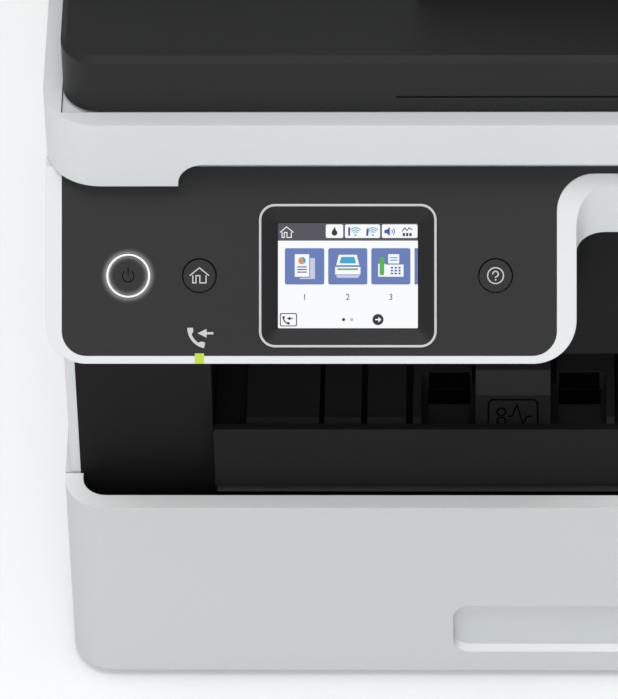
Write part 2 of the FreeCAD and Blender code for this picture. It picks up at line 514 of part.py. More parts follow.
def make_document_cover():
    """Lid over the glass: a black shell with a white backing pad and two rear hinges."""
    rear = f"({BACK} - seam)"
    cover = Piece("document_cover")
    cover.box((f"-{COVER_HALF}", COVER_HALF), (COVER_FRONT, rear), (COVER_LOW, COVER_TOP))
    cover.fillet("scanner_radius - rim", along("Z", x=f"-{COVER_HALF}", y=COVER_FRONT),
                 along("Z", x=COVER_HALF, y=COVER_FRONT))
    cover.chamfer("cover_edge", level(COVER_TOP))
    cover.box((f"-{COVER_HALF} + cover_wall", f"{COVER_HALF} - cover_wall"),
              (f"{COVER_FRONT} + cover_wall", f"{rear} - cover_wall"),
              (f"{COVER_LOW} - over", f"{COVER_TOP} - cover_wall"), carve=True)
    groove_low = f"{COVER_LOW} + groove_rise"
    cover.box(("groove_left", f"{COVER_HALF} - scanner_radius"),
              (f"{COVER_FRONT} - over", f"{COVER_FRONT} + groove"),
              (groove_low, f"{groove_low} + groove"), carve=True)
    moving_knuckles(cover, "cover_hinge_x", COVER_AXIS)
    fixed_knuckles("cover_hinges", "cover_hinge_x", COVER_AXIS)
    pad = Piece("backing_pad")
    pad.box((f"-{COVER_HALF} + pad_inset", f"{COVER_HALF} - pad_inset"),
            (f"{COVER_FRONT} + pad_inset", f"{rear} - pad_inset"), (f"{COVER_LOW} - pad_thick", COVER_LOW))
    pad.fillet("scanner_radius - rim - pad_inset",
               *(along("Z", x=f"{sign}({COVER_HALF} - pad_inset)", y=f"{COVER_FRONT} + pad_inset")
                 for sign in "-+"))


def make_feeder():
    """Document feeder: body, hinged lid, sloping input tray with two edge guides, pick roller."""
    top = f"({COVER_TOP} + feeder_rise)"
    axis_x, axis_z = "(feeder_left + lid_pivot)", f"({top} + lid_gap + lid_pivot)"
    body = Piece("feeder_body")
    body.box(("feeder_left", "feeder_right"), ("feeder_front", "feeder_rear"), (COVER_TOP, top))
    body.fillet("feeder_round", along("Z", x="feeder_left", y="feeder_front"),
                along("Z", x="feeder_left", y="feeder_rear"))
    body.box(("feeder_left + 2*feeder_wall", "feeder_right + over"),
             ("feeder_front + feeder_wall", "feeder_rear - feeder_wall"),
             (f"{COVER_TOP} + feeder_wall", f"{top} + over"), carve=True)
    ears = (("feeder_front + feeder_round", "feeder_front + feeder_round + ear"),
            ("feeder_rear - feeder_round - ear", "feeder_rear - feeder_round"))
    for start, end in ears:
        body.box(("feeder_left", "feeder_left + 2*lid_pivot"), (start, end), (top, f"{axis_z} + lid_pivot"))
        body.disc("XZ", (axis_x, axis_z), "pin_radius + running_fit", start, end, carve=True)

    lid = Piece("feeder_cover")
    low = f"({top} + lid_gap)"
    lid.box(("feeder_left", "feeder_right"), ("feeder_front", "feeder_rear"), (low, "height"))
    lid.fillet("feeder_round", along("Z", x="feeder_left", y="feeder_front"),
               along("Z", x="feeder_left", y="feeder_rear"))
    lid.chamfer("lid_bevel", level("height"))
    lid.box(("feeder_left + 2*feeder_wall", "feeder_right - feeder_wall"),
            ("feeder_front + feeder_wall", "feeder_rear - feeder_wall"),
            (f"{low} - over", "height - feeder_wall"), carve=True)
    for start, end in ears:
        lid.box(("feeder_left - over", "feeder_left + 2*lid_pivot + lid_relief"),
                (f"{start} - seam", f"{end} + seam"),
                (f"{low} - over", f"{axis_z} + lid_pivot + lid_relief"), carve=True)
        lid.disc("XZ", (axis_x, axis_z), "pin_radius", f"{start} - over", f"{end} + over")

    right = "(feeder_right + tray_reach)"
    low_z, high_z = f"({COVER_TOP} + tray_low)", f"({COVER_TOP} + tray_high)"
    sides = ("feeder_front + feeder_wall", "feeder_rear - feeder_wall")
    tray = Piece("feeder_tray")
    tray.outline("XZ", [("feeder_right - tray_root", low_z), (right, high_z),
                        (right, f"{high_z} + tray_skin"),
                        ("feeder_right - tray_root", f"{low_z} + tray_skin")], *sides)
    tray.outline("XZ", [(f"{right} - 2*leg_wide", COVER_TOP), (f"{right} - leg_wide", COVER_TOP),
                        (f"{right} - leg_wide", f"{high_z} + tray_skin/2"),
                        (f"{right} - 2*leg_wide", f"{high_z} - tray_skin/2")],
                 "feeder_front + 4*leg_wide", "feeder_rear - 4*leg_wide")
    slope = f"(({high_z} - {low_z})/(tray_reach + tray_root))"
    middle = "((feeder_front + feeder_rear)/2)"

    def top_at(x):
        return f"({low_z} + tray_skin + clearance + (({x}) - feeder_right + tray_root)*{slope})"

    end = "(guide_x + guide_long)"
    for label, sign in (("feeder_guide_front", "-"), ("feeder_guide_rear", "+")):
        guide = Piece(label)
        inner = f"({middle} {sign} guide_half)"
        outer = f"({inner} {sign} guide_skin)"
        span = ordered(sign, inner, outer)
        guide.outline("XZ", [("guide_x", top_at("guide_x")), (end, top_at(end)),
                             (end, f"{top_at(end)} + guide_tall"),
                             ("guide_x", f"{top_at('guide_x')} + guide_tall")], *span)
        guide.fillet("guide_skin", along("Y", x=end, z=f"{top_at(end)} + guide_tall"),
                     along("Y", x="guide_x", z=f"{top_at('guide_x')} + guide_tall"))
    roller = Piece("pick_roller")
    spot = ("pick_x", f"{top} - pick_radius")
    roller.disc("XZ", spot, "pick_radius", f"{middle} - pick_long/2", f"{middle} + pick_long/2")
    roller.disc("XZ", spot, "pick_axle", f"{sides[0]} + end_play", f"{sides[1]} - end_play")


def make_cassette():
    """Paper cassette: light front with a rounded rim, black tray, side fences and length guide."""
    face = f"({BODY_FRONT} - cassette_proud)"
    inner_front, half = f"({face} + cassette_rim)", "(width/2 - cassette_rim)"
    rear = f"({REAR} - base_rear_wall - clearance)"
    floor = "(foot_height + base_floor + clearance)"
    front = Piece("cassette_front")
    front.box((LEFT, RIGHT), (face, f"{PILLAR} - seam"), ("cassette_low", "cassette_top"))
    front.fillet("cassette_radius", along("Z", x=LEFT, y=face), along("Z", x=RIGHT, y=face))
    front.box((f"-{half}", half), (inner_front, f"{PILLAR} + over"), (floor, "cassette_top + over"),
              carve=True)
    front.fillet("cassette_radius - cassette_rim", along("Z", x=f"-{half}", y=inner_front),
                 along("Z", x=half, y=inner_front))
    front.box(("-grip_wide/2", "grip_wide/2"), (f"{face} - over", f"{face} + grip_deep"),
              ("grip_low", "grip_low + grip_tall"), carve=True)
    front.fillet("grip_radius", *(along("Y", x=x, z=z) for x in ("-grip_wide/2", "grip_wide/2")
                                  for z in ("grip_low", "grip_low + grip_tall")))

    side = f"({half} - overlay_gap)"
    start = f"({inner_front} + overlay_gap)"
    tray = Piece("cassette_tray")
    tray.box((f"-{side}", side), (start, rear), (floor, f"{floor} + tray_tall"))
    tray.fillet("cassette_radius - cassette_rim", along("Z", x=f"-{side}", y=start),
                along("Z", x=side, y=start))
    tray.box((f"-{side} + tray_wall", f"{side} - tray_wall"), (f"{start} - over", f"{rear} - tray_wall"),
             (f"{floor} + tray_floor", f"{floor} + tray_tall + over"), carve=True)

    sheet_low = f"({floor} + tray_floor + clearance)"
    for label, sign in (("cassette_guide_left", "-"), ("cassette_guide_right", "+")):
        fence = Piece(label)
        inner = f"({sign}(paper_wide/2 + clearance))"
        length = ("fence_y - fence_long/2", "fence_y + fence_long/2")
        wall, foot = f"({inner} {sign} fence_thick)", f"({inner} {sign} fence_foot)"
        fence.box(ordered(sign, inner, wall), length, (sheet_low, f"{sheet_low} + fence_tall"))
        fence.box(ordered(sign, inner, foot), length, (sheet_low, f"{sheet_low} + fence_thick"))
    guide = Piece("cassette_length_guide")
    back = f"({rear} - tray_wall - clearance)"
    across = ("-fence_foot", "fence_foot")
    guide.box(across, (f"{back} - fence_thick", back), (sheet_low, f"{sheet_low} + fence_tall"))
    guide.box(across, (f"{back} - fence_foot", back), (sheet_low, f"{sheet_low} + fence_thick"))


def make_output():
    """Paper output: slide tray, extension with its stop wall, black inner front, exit guides."""
    stop_front, stop_rear = f"({BODY_FRONT} + stop_set)", f"({BODY_FRONT} + stop_set + stop_thick)"
    axis_y, axis_z = f"({stop_rear} + stop_knuckle + seam)", "(stop_low + stop_knuckle)"
    across = ("out_left", "out_right")
    middle = "((extension_left + extension_right)/2)"
    stop = Piece("paper_stop")
    stop.box(across, (stop_front, stop_rear), ("stop_low", "stop_top"))
    stop.fillet("stop_radius", along("Y", x="out_left", z="stop_top"),
                along("Y", x="out_right", z="stop_top"))
    extension = Piece("output_extension")
    start = f"({axis_y} + stop_knuckle + clearance)"
    low = f"({axis_z} - slide_floor/2)"
    extension.box(("extension_left", "extension_right"), (start, "slide_rear - clearance"),
                  (low, f"{low} + slide_floor"))
    for side in "-+":
        spot = f"({middle} {side} lug_spread)"
        far = f"{spot} {side} (lug_wide/2 + clearance + stop_ear)"
        ear = ordered(side, f"{spot} {side} (lug_wide/2 + clearance)", far)
        stop.box(ear, (f"{stop_rear} - seam", axis_y), ("stop_low", f"{axis_z} + stop_knuckle"))
        stop.disc("YZ", (axis_y, axis_z), "stop_knuckle", *ear)
        stop.disc("YZ", (axis_y, axis_z), "stop_pin + running_fit", *ear, carve=True)
        extension.box((f"{spot} - lug_wide/2", f"{spot} + lug_wide/2"), (axis_y, f"{start} + seam"),
                      (low, f"{low} + slide_floor"))
        extension.disc("YZ", (axis_y, axis_z), "stop_pin", *ordered(side, spot, far))
    tray_low = f"({low} + slide_floor + slide_gap)"
    tray = Piece("output_tray")
    tray.box(across, (start, "slide_rear"), (tray_low, f"{tray_low} + slide_floor"))

    inner = Piece("inner_front")
    block_right = "(out_left - seam)"
    inner.box((f"-{INNER}", block_right), (PILLAR, f"{PILLAR} + block_depth"), ("split_height", "front_top"))
    inner.box((f"-{INNER} + block_skin", f"{block_right} - block_skin"),
              (f"{PILLAR} + block_skin", f"{PILLAR} + block_depth + over"),
              ("split_height + block_skin", "front_top + over"), carve=True)
    inner.box((f"-{INNER} + clearance", block_right), (PILLAR, f"{PILLAR} + block_skin"),
              ("split_height - skirt_drop", "split_height + block_skin"))
    inner.box((f"{block_right} - block_skin", "tank_left"), (PILLAR, f"{PILLAR} + exit_skin"),
              ("exit_low", "front_top"))

    plate_low = f"({tray_low} + slide_floor + slide_gap)"
    plate_top = f"({plate_low} + guide_floor)"
    guide = Piece("exit_guide")
    guide.box((block_right, "tank_left"), ("guide_front", "guide_rear"), (plate_low, plate_top))
    for start_x, end_x in (("guide_a", "guide_b"), ("guide_b + slot_narrow", "guide_c"),
                           ("guide_c + slot_wide", "guide_d"), ("pocket_left", "pocket_right"),
                           ("cove_left", "cove_right"), ("rib_left", "rib_left + rib_wide"),
                           ("rib_right - rib_wide", "rib_right")):
        guide.outline("YZ", [("guide_front", f"{plate_top} - over"), ("guide_rear", f"{plate_top} - over"),
                             ("guide_rear", f"{plate_top} + guide_step"),
                             ("guide_front + guide_step", f"{plate_top} + guide_step"),
                             ("guide_front", f"{plate_top} + guide_step/3")], start_x, end_x)
    pocket_rear = "(guide_front + pocket_deep)"
    for wall, span in (("pocket_left + pocket_edge", ("pocket_left + pocket_edge", "pocket_right + over")),
                       ("cove_right - pocket_edge", ("cove_left - over", "cove_right - pocket_edge"))):
        guide.box(span, ("guide_front - over", pocket_rear),
                  (f"{plate_low} + pocket_floor", f"{plate_top} + guide_step + over"), carve=True)
        guide.fillet("pocket_edge", along("Z", x=wall, y=pocket_rear))
    jam = Piece("jam_guide")
    jam_front = "(guide_front + jam_set)"
    jam.outline("YZ", [(jam_front, plate_top), ("guide_rear", plate_top),
                       ("guide_rear", f"{plate_top} + jam_step"),
                       (f"{jam_front} + jam_run + jam_curl", f"{plate_top} + jam_step"),
                       (f"{jam_front} + jam_run", f"{plate_top} + jam_crease"),
                       (jam_front, f"{plate_top} + jam_lip")], "jam_left", "jam_right")


def make_tanks():
    """Ink supply at the right: frame, four tanks with caps, and a hinged front cover with a window."""
    frame = Piece("tank_frame")
    frame.box(("tank_left", INNER), (PILLAR, "tank_rear"), ("tank_low", "frame_top"))
    inside = ("tank_left + tank_wall", f"{INNER} - tank_wall")
    frame.box(inside, (f"{PILLAR} - over", "tank_rear - tank_wall"),
              ("tank_low + tank_wall", "frame_top + over"), carve=True)
    door_rear = f"({PILLAR} - door_gap)"
    door_front = f"({door_rear} - door_thick)"
    axis_y, axis_z = f"({door_rear} - door_thick/2)", "(door_low + door_axis)"
    door_left, door_right = "(tank_left + ear_wide + door_gap)", f"({INNER} - ear_wide - door_gap)"
    for ear, pin in ((("tank_left", "tank_left + ear_wide"), ("tank_left", f"{door_left} + pin_reach")),
                     ((f"{INNER} - ear_wide", INNER), (f"{door_right} - pin_reach", INNER))):
        frame.box(ear, (door_front, f"{PILLAR} + over"), ("tank_low", f"{axis_z} + door_thick/2"))
        frame.disc("YZ", (axis_y, axis_z), "door_pin", *pin)

    door = Piece("tank_cover")
    door_top = f"({BRIDGE_LOW} - seam)"
    door.box((door_left, door_right), (door_front, door_rear), ("door_low", door_top))
    door.fillet("door_edge", *(along("X", y=y, z="door_low") for y in (door_front, door_rear)))
    door.fillet("door_edge", along("X", y=door_front, z=door_top))
    door.box((f"{door_left} + door_wall", f"{door_right} - door_wall"),
             (f"{door_front} + door_wall", f"{door_rear} + over"),
             (f"{axis_z} + door_thick/2", f"{door_top} - door_wall"), carve=True)
    window_z = ("door_low + window_low", "door_low + window_low + window_tall")
    window_x = (f"{door_left} + window_side", f"{door_right} - window_side")
    door.box(window_x, (f"{door_front} - over", f"{door_rear} + over"), window_z, carve=True)
    for start, end in ((f"{door_left} - over", f"{door_left} + pin_reach + end_play"),
                       (f"{door_right} - pin_reach - end_play", f"{door_right} + over")):
        door.disc("YZ", (axis_y, axis_z), "door_pin + running_fit", start, end, carve=True)
    window = Piece("tank_window")
    window.box((f"{window_x[0]} - window_lap", f"{window_x[1]} + window_lap"),
               (f"{door_front} + door_wall", f"{door_front} + door_wall + window_thick"),
               (f"{window_z[0]} - window_lap", f"{window_z[1]} + window_lap"))

    tanks = Piece("ink_tanks")
    pitch = f"(({inside[1]} - ({inside[0]}))/4)"
    front, rear = f"({PILLAR} + tank_set)", "(tank_rear - tank_wall)"
    for number in range(4):
        left = f"({inside[0]} + {number}*{pitch})"
        middle = f"({left} + {pitch}/2)"
        tanks.box((f"{left} + tank_gap/2", f"{left} + {pitch} - tank_gap/2"), (front, rear),
                  ("tank_low + tank_wall", "tank_top"))
        tanks.box((f"{middle} - neck_half", f"{middle} + neck_half"),
                  (f"{front} + cap_set - neck_half", f"{front} + cap_set + neck_half"),
                  ("tank_top", "tank_top + neck_tall"))
        cap = Piece(f"tank_cap_{number + 1}")
        across = (f"{left} + cap_side", f"{left} + {pitch} - cap_side")
        hinge = (f"({front} + cap_side + cap_long)", "(tank_top + neck_tall + cap_knuckle)")
        cap.box(across, (f"{front} + cap_side", hinge[0]),
                ("tank_top + neck_tall", "tank_top + neck_tall + cap_tall"))
        cap.chamfer("cap_side", level("tank_top + neck_tall + cap_tall"))
        cap.disc("YZ", hinge, "cap_knuckle", *across)
        cap.disc("YZ", hinge, "cap_pin + running_fit", *across, carve=True)
        sides = (f"{left} + tank_gap/2", f"{left} + {pitch} - tank_gap/2")
        tanks.disc("YZ", hinge, "cap_pin", *sides)
        for ear in ((sides[0], f"{across[0]} - end_play"), (f"{across[1]} + end_play", sides[1])):
            tanks.box(ear, (f"{hinge[0]} - cap_knuckle", f"{hinge[0]} + cap_knuckle"),
                      ("tank_top", f"{hinge[1]} + cap_knuckle"))


def make_engine():
    """Print engine on a sheet-metal chassis: carriage on its shaft, belt drive, rollers, bed, capping."""
    half, skin = "chassis_half", "chassis_skin"
    floor_top = "(chassis_low + chassis_skin)"
    wall_y = "(chassis_rear - chassis_skin)"
    chassis = Piece("chassis")
    chassis.box((f"-{half}", half), ("chassis_front", "chassis_rear"), ("chassis_low", "chassis_top"))
    chassis.box((f"-{half} + {skin}", f"{half} - {skin}"), ("chassis_front - over", wall_y),
                (floor_top, "chassis_top + over"), carve=True)
    chassis.box((f"-{INNER}", INNER), ("chassis_front", "chassis_rear"), ("chassis_low", floor_top))
    shelf = ("belt_height - pulley_tall/2 - pulley_play - chassis_skin",
             "belt_height - pulley_tall/2 - pulley_play")
    for span in (("belt_half - motor_radius", f"{half} - {skin}"),
                 (f"{skin} - {half}", "motor_radius - belt_half")):
        chassis.box(span, ("belt_y - motor_radius", wall_y), shelf)
    chassis.disc("XY", ("belt_half", "belt_y"), "2*axle_radius", f"{shelf[0]} - over", f"{shelf[1]} + over",
                 carve=True)
    chassis.disc("XY", ("-belt_half", "belt_y"), "axle_radius", shelf[0], "belt_height + pulley_tall/2")

    shaft = Piece("carriage_shaft")
    shaft.disc("YZ", ("shaft_y", "shaft_height"), "shaft_radius", f"-{half} + {skin}", f"{half} - {skin}")
    carriage = Piece("print_carriage")
    right = "(carriage_left + carriage_wide)"
    carriage.box(("carriage_left", right), ("carriage_front", "carriage_rear"),
                 ("carriage_low", "carriage_top"))
    carriage.fillet("carriage_edge", along("X", y="carriage_front", z="carriage_top"),
                    *(along("Z", x=x, y="carriage_front") for x in ("carriage_left", right)))
    carriage.box(("carriage_left + head_inset", f"{right} - head_inset"),
                 ("bed_front + cap_wall", "cap_unit_rear - cap_wall"),
                 ("carriage_low - head_tall", "carriage_low"))
    clamp = "(carriage_left + carriage_wide/2)"
    carriage.box((f"{clamp} - clamp_wide/2", f"{clamp} + clamp_wide/2"),
                 ("carriage_rear - over", "belt_y - belt_radius - belt_thick - clearance"),
                 ("belt_height - belt_tall/2", "belt_height + clamp_tall/2"))
    carriage.disc("YZ", ("shaft_y", "shaft_height"), "shaft_radius + running_fit", "carriage_left - over",
                  f"{right} + over",
                  carve=True)

    belt = Piece("carriage_belt")
    belt_z = ("belt_height - belt_tall/2", "belt_height + belt_tall/2")
    for radius, carve in (("(belt_radius + belt_thick)", False), ("belt_radius", True)):
        belt.box(("-belt_half", "belt_half"), (f"belt_y - {radius}", f"belt_y + {radius}"), belt_z,
                 carve=carve)
        for x in ("-belt_half", "belt_half"):
            belt.disc("XY", (x, "belt_y"), radius, *belt_z, carve=carve)
    pulley_z = ("belt_height - pulley_tall/2", "belt_height + pulley_tall/2")
    drive = Piece("drive_pulley")
    drive.disc("XY", ("belt_half", "belt_y"), "belt_radius - pulley_play", *pulley_z)
    drive.disc("XY", ("belt_half", "belt_y"), "axle_radius", f"{shelf[0]} - 2*pulley_tall", pulley_z[0])
    idler = Piece("idler_pulley")
    idler.disc("XY", ("-belt_half", "belt_y"), "belt_radius - pulley_play", *pulley_z,
               inner="axle_radius + running_fit")
    motor = Piece("carriage_motor")
    motor.disc("XY", ("belt_half", "belt_y"), "motor_radius", f"{shelf[0]} - motor_tall", shelf[0])
    motor.disc("XY", ("belt_half", "belt_y"), "axle_radius + running_fit",
               f"{shelf[0]} - 2*pulley_tall - over", shelf[0],
               carve=True)

    ends = (f"-{half} + {skin} + end_play", f"{half} - {skin} - end_play")
    feed = Piece("feed_roller")
    feed.disc("YZ", ("feed_y", "roller_height"), "feed_radius", "bed_left", "bed_right")
    feed.disc("YZ", ("feed_y", "roller_height"), "feed_radius/2", *ends)
    eject = Piece("eject_roller")
    eject.disc("YZ", ("eject_y", "roller_height"), "eject_axle", *ends)
    for number in range(int(SIZES["wheel_count"])):
        x = f"(bed_left + wheel_wide + {number}*(bed_right - bed_left - 3*wheel_wide)/(wheel_count - 1))"
        eject.disc("YZ", ("eject_y", "roller_height"), "eject_radius", x, f"{x} + wheel_wide")
    bed = Piece("platen")
    bed.box(("bed_left", "bed_right"), ("bed_front", "bed_rear"), (floor_top, "bed_top"))
    bed.box(("bed_left + bed_wall", "bed_right - bed_wall"), ("bed_front + bed_wall", "bed_rear - bed_wall"),
            (f"{floor_top} - over", "bed_top - bed_wall"), carve=True)
    cap = Piece("capping_station")
    cap_x = ("carriage_left + cap_wall", f"{right} - cap_wall")
    cap.box(cap_x, ("bed_front", "cap_unit_rear"), (floor_top, "cap_unit_top"))
    cap.box((f"{cap_x[0]} + cap_wall", f"{cap_x[1]} - cap_wall"),
            ("bed_front + cap_wall", "cap_unit_rear - cap_wall"),
            ("cap_unit_top - 2*cap_wall", "cap_unit_top + over"), carve=True)


def make_electrics(housing):
    """Power supply with the mains inlet, main board with its sockets, and the rear cover."""
    wall = f"({BACK} - housing_wall)"
    supply = Piece("power_supply")
    supply.box(("supply_left", INNER), ("supply_front", wall), ("split_height + seam", "supply_top"))
    inlet_x = ("(supply_left + inlet_wide)", "(supply_left + 2*inlet_wide)")
    inlet_z = ("(split_height + inlet_tall/2)", "(split_height + 3*inlet_tall/2)")
    supply.box(inlet_x, (wall, BACK), inlet_z)
    supply.box((f"{inlet_x[0]} + cap_wall/2", f"{inlet_x[1]} - cap_wall/2"),
               (f"{wall} - inlet_tall/2", f"{BACK} + over"),
               (f"{inlet_z[0]} + cap_wall/2", f"{inlet_z[1]} - cap_wall/2"), carve=True)

    def opening(x, z):
        housing.box((f"{x[0]} - clearance", f"{x[1]} + clearance"), (f"{wall} - over", f"{BACK} + over"),
                    (f"{z[0]} - clearance", f"{z[1]} + clearance"), carve=True)

    opening(inlet_x, inlet_z)
    board = Piece("main_board")
    face = f"({wall} - board_gap)"
    board.box(("board_left", "board_right"), (f"{face} - board_thick", face),
              ("board_low", "board_low + board_tall"))
    pillar_z = "(board_low + board_tall - port_low)"
    for x in ("board_left + port_low", "board_right - port_low"):
        board.box((f"{x} - pin_radius", f"{x} + pin_radius"), (face, wall),
                  (f"{pillar_z} - pin_radius", f"{pillar_z} + pin_radius"))
    port_z = ("(board_low + port_low)", "(board_low + port_low + port_tall)")
    for number in range(4):
        x = f"(board_left + port_wide + {number}*port_pitch)"
        port_x = (x, f"({x} + port_wide)")
        board.box(port_x, (face, BACK), port_z)
        board.box((f"{x} + pin_radius", f"{x} + port_wide - pin_radius"),
                  (f"{face} + pin_radius", f"{BACK} + over"),
                  (f"{port_z[0]} + pin_radius", f"{port_z[1]} - pin_radius"), carve=True)
        opening(port_x, port_z)
    rear = Piece("rear_cover")
    rear.box(("rear_left", "rear_right"), (f"{BACK} - rear_deep", f"{REAR} - seam"), ("rear_low", "rear_top"))
    rear.fillet("rear_edge", *(along(axis, y=f"{REAR} - seam", **spot) for axis, spot in (
        ("X", {"z": "rear_low"}), ("X", {"z": "rear_top"}), ("Z", {"x": "rear_left"}),
        ("Z", {"x": "rear_right"}))))
    rear.box(("rear_left + rear_edge", "rear_right - rear_edge"),
             (f"{BACK} - rear_deep - over", f"{BACK} - rear_edge/2"),
             ("rear_low + rear_edge", "rear_top - rear_edge"), carve=True)
    opening(("rear_left", "rear_right"), ("rear_low", "rear_top"))


def write_pieces():
    """Check every object and piece, then write one file for each piece."""
    doc.recompute()
    faults = [item.Label for item in doc.Objects if {"Invalid", "Error"} & set(item.State)]
    faults += [label for label, item in pieces.items() if item.Shape.isNull() or not item.Shape.isValid()]
    if faults:
        raise RuntimeError(f"failed objects: {faults}")
    os.makedirs("parts", exist_ok=True)
    for label, item in pieces.items():
        item.Shape.exportStep(f"parts/{label}.step")


make_base()
printer_housing = make_housing()
make_fascia()
make_panel()
make_scanner()
make_document_cover()
make_feeder()
make_cassette()
make_output()
make_tanks()
make_engine()
make_electrics(printer_housing)
write_pieces()
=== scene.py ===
"""Looks of a tank-type inkjet printer with a scanner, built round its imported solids.

Lengths are millimetres in the printer's own frame, unless a line says metres: +Z up, the front faces -Y.
The meshes themselves are in metres.
"""
import logging
import math
from collections.abc import Iterable, Sequence
from dataclasses import dataclass
from enum import Enum
from functools import cache
from typing import ClassVar

import bmesh
import bpy
from mathutils import Matrix, Vector


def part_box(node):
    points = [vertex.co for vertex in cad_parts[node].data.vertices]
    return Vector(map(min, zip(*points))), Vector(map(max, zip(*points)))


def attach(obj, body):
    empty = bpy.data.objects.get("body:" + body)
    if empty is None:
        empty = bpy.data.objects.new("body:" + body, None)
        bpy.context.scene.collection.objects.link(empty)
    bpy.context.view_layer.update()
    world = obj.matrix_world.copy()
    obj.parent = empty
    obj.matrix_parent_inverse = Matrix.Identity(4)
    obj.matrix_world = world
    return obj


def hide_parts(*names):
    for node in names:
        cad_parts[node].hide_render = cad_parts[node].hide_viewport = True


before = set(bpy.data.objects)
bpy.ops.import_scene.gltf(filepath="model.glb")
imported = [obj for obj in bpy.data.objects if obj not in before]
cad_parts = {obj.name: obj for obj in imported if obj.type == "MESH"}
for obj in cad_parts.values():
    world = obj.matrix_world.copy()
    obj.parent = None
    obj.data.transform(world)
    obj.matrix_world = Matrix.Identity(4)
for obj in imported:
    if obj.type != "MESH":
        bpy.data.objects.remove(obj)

log = logging.getLogger("printer")

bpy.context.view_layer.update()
MM = 0.001
LAYER = 0.02

Point = tuple[float, float]
Spot = tuple[float, float, float]
Loop = list[Point]
Colour = tuple[float, float, float, float]
Socket = bpy.types.NodeSocket
Node = bpy.types.Node
Mesh = bpy.types.Mesh

BLACK: Colour = (0.0, 0.0, 0.0, 1.0)
WHITE: Colour = (1.0, 1.0, 1.0, 1.0)


class Body(str, Enum):
    """Moving bodies that added pieces ride on."""

    PRINTER = "printer_body"
    SCANNER = "scanner"
    SCAN_BAR = "scan_bar"
    LID = "document_lid"
    FEEDER_LID = "feeder_lid"
    CASSETTE = "cassette"
    POWER_KEY = "power_key"
    HOME_KEY = "home_key"
    HELP_KEY = "help_key"
    TANK_DOOR = "tank_door"
    CARRIAGE = "carriage"
    REAR = "rear_unit"
    STOP = "stop_wall"
    TRAY = "slide_tray"
    CAP_1 = "cap_1"
    CAP_2 = "cap_2"
    CAP_3 = "cap_3"
    CAP_4 = "cap_4"


class Tone(Enum):
    """Colours as they look on a screen, 0 to 255."""

    @property
    def linear(self) -> Colour:
        """The colour as linear light, with full alpha.

        Returns:
            Red, green, blue and alpha.
        """
        parts = [value / 255 for value in self.value]
        red, green, blue = (part / 12.92 if part <= 0.04045 else ((part + 0.055) / 1.055) ** 2.4
                            for part in parts)
        return red, green, blue, 1.0

    def times(self, factor: float) -> Colour:
        """Return the colour made darker or lighter, as linear light."""
        red, green, blue = (min(1.0, value * factor) for value in self.linear[:3])
        return red, green, blue, 1.0


class Shade(Tone):
    """Surface colours."""

    CASING = (219, 223, 224)
    CASING_EDGE = (232, 235, 236)
    # Painted shade: the cassette front's casing plastic, darker than CASING to stand for the shade under the
    # fascia.
    DRAWER_SHADED = (206, 210, 211)
    # Painted highlight on the cassette front's upward faces, as if lit from above.
    DRAWER_RIM_HIGHLIGHT = (248, 250, 250)
    COVER_BLACK = (30, 30, 31)
    PANEL_BLACK = (35, 35, 36)
    INNER_BLACK = (25, 25, 26)
    GUIDE_BLACK = (46, 46, 47)
    # The jam guide's own colour, also used as painted light on the pocket floors.
    JAM_GUIDE = (58, 58, 59)
    BLACK_EDGE = (74, 74, 76)
    BEZEL = (27, 27, 29)
    KEY = (34, 34, 35)
    SILVER = (196, 197, 200)
    RUBBER = (30, 30, 30)
    ROLLER = (52, 52, 54)
    PAD_WHITE = (236, 236, 232)
    STEEL = (176, 178, 180)
    TANK = (214, 217, 218)
    BELT = (24, 24, 25)
    BOARD = (24, 82, 48)
    SUPPLY = (40, 40, 42)
    ICON = (196, 197, 198)
    ICON_DARK = (112, 112, 114)
    # Near-black for engraved marks, and for painted shadow in the exit guide's pockets.
    ENGRAVED = (6, 6, 6)
    LAMP = (201, 228, 74)
    LIGHT = (255, 255, 255)
    GOLD = (196, 160, 84)
    CHIP = (30, 30, 32)
    FLOOR = (240, 241, 242)


class Picture(Tone):
    """Colours of the lit screen."""

    WHITE = (243, 244, 246)
    BAR = (83, 82, 92)
    TILE = (104, 126, 186)
    INK = (52, 52, 58)
    DOT = (186, 188, 194)
    GREEN = (92, 176, 84)
    CYAN = (64, 168, 208)
    ORANGE = (232, 146, 62)
    SHADE = (198, 206, 224)
    BLUE = (58, 92, 168)


class Ink(Tone):
    """Inks in the tanks, from left to right."""

    BLACK = (22, 22, 26)
    CYAN = (0, 128, 190)
    MAGENTA = (190, 30, 110)
    YELLOW = (236, 196, 30)

    @property
    def linear(self) -> Colour:
        """The ink as linear light, with full alpha."""
        red, green, blue = ((value / 255) ** 2.2 for value in self.value)
        return red, green, blue, 1.0

    @property
    def finish_name(self) -> str:
        """The name of the ink's finish."""
        return f"ink_{self.name.lower()}"


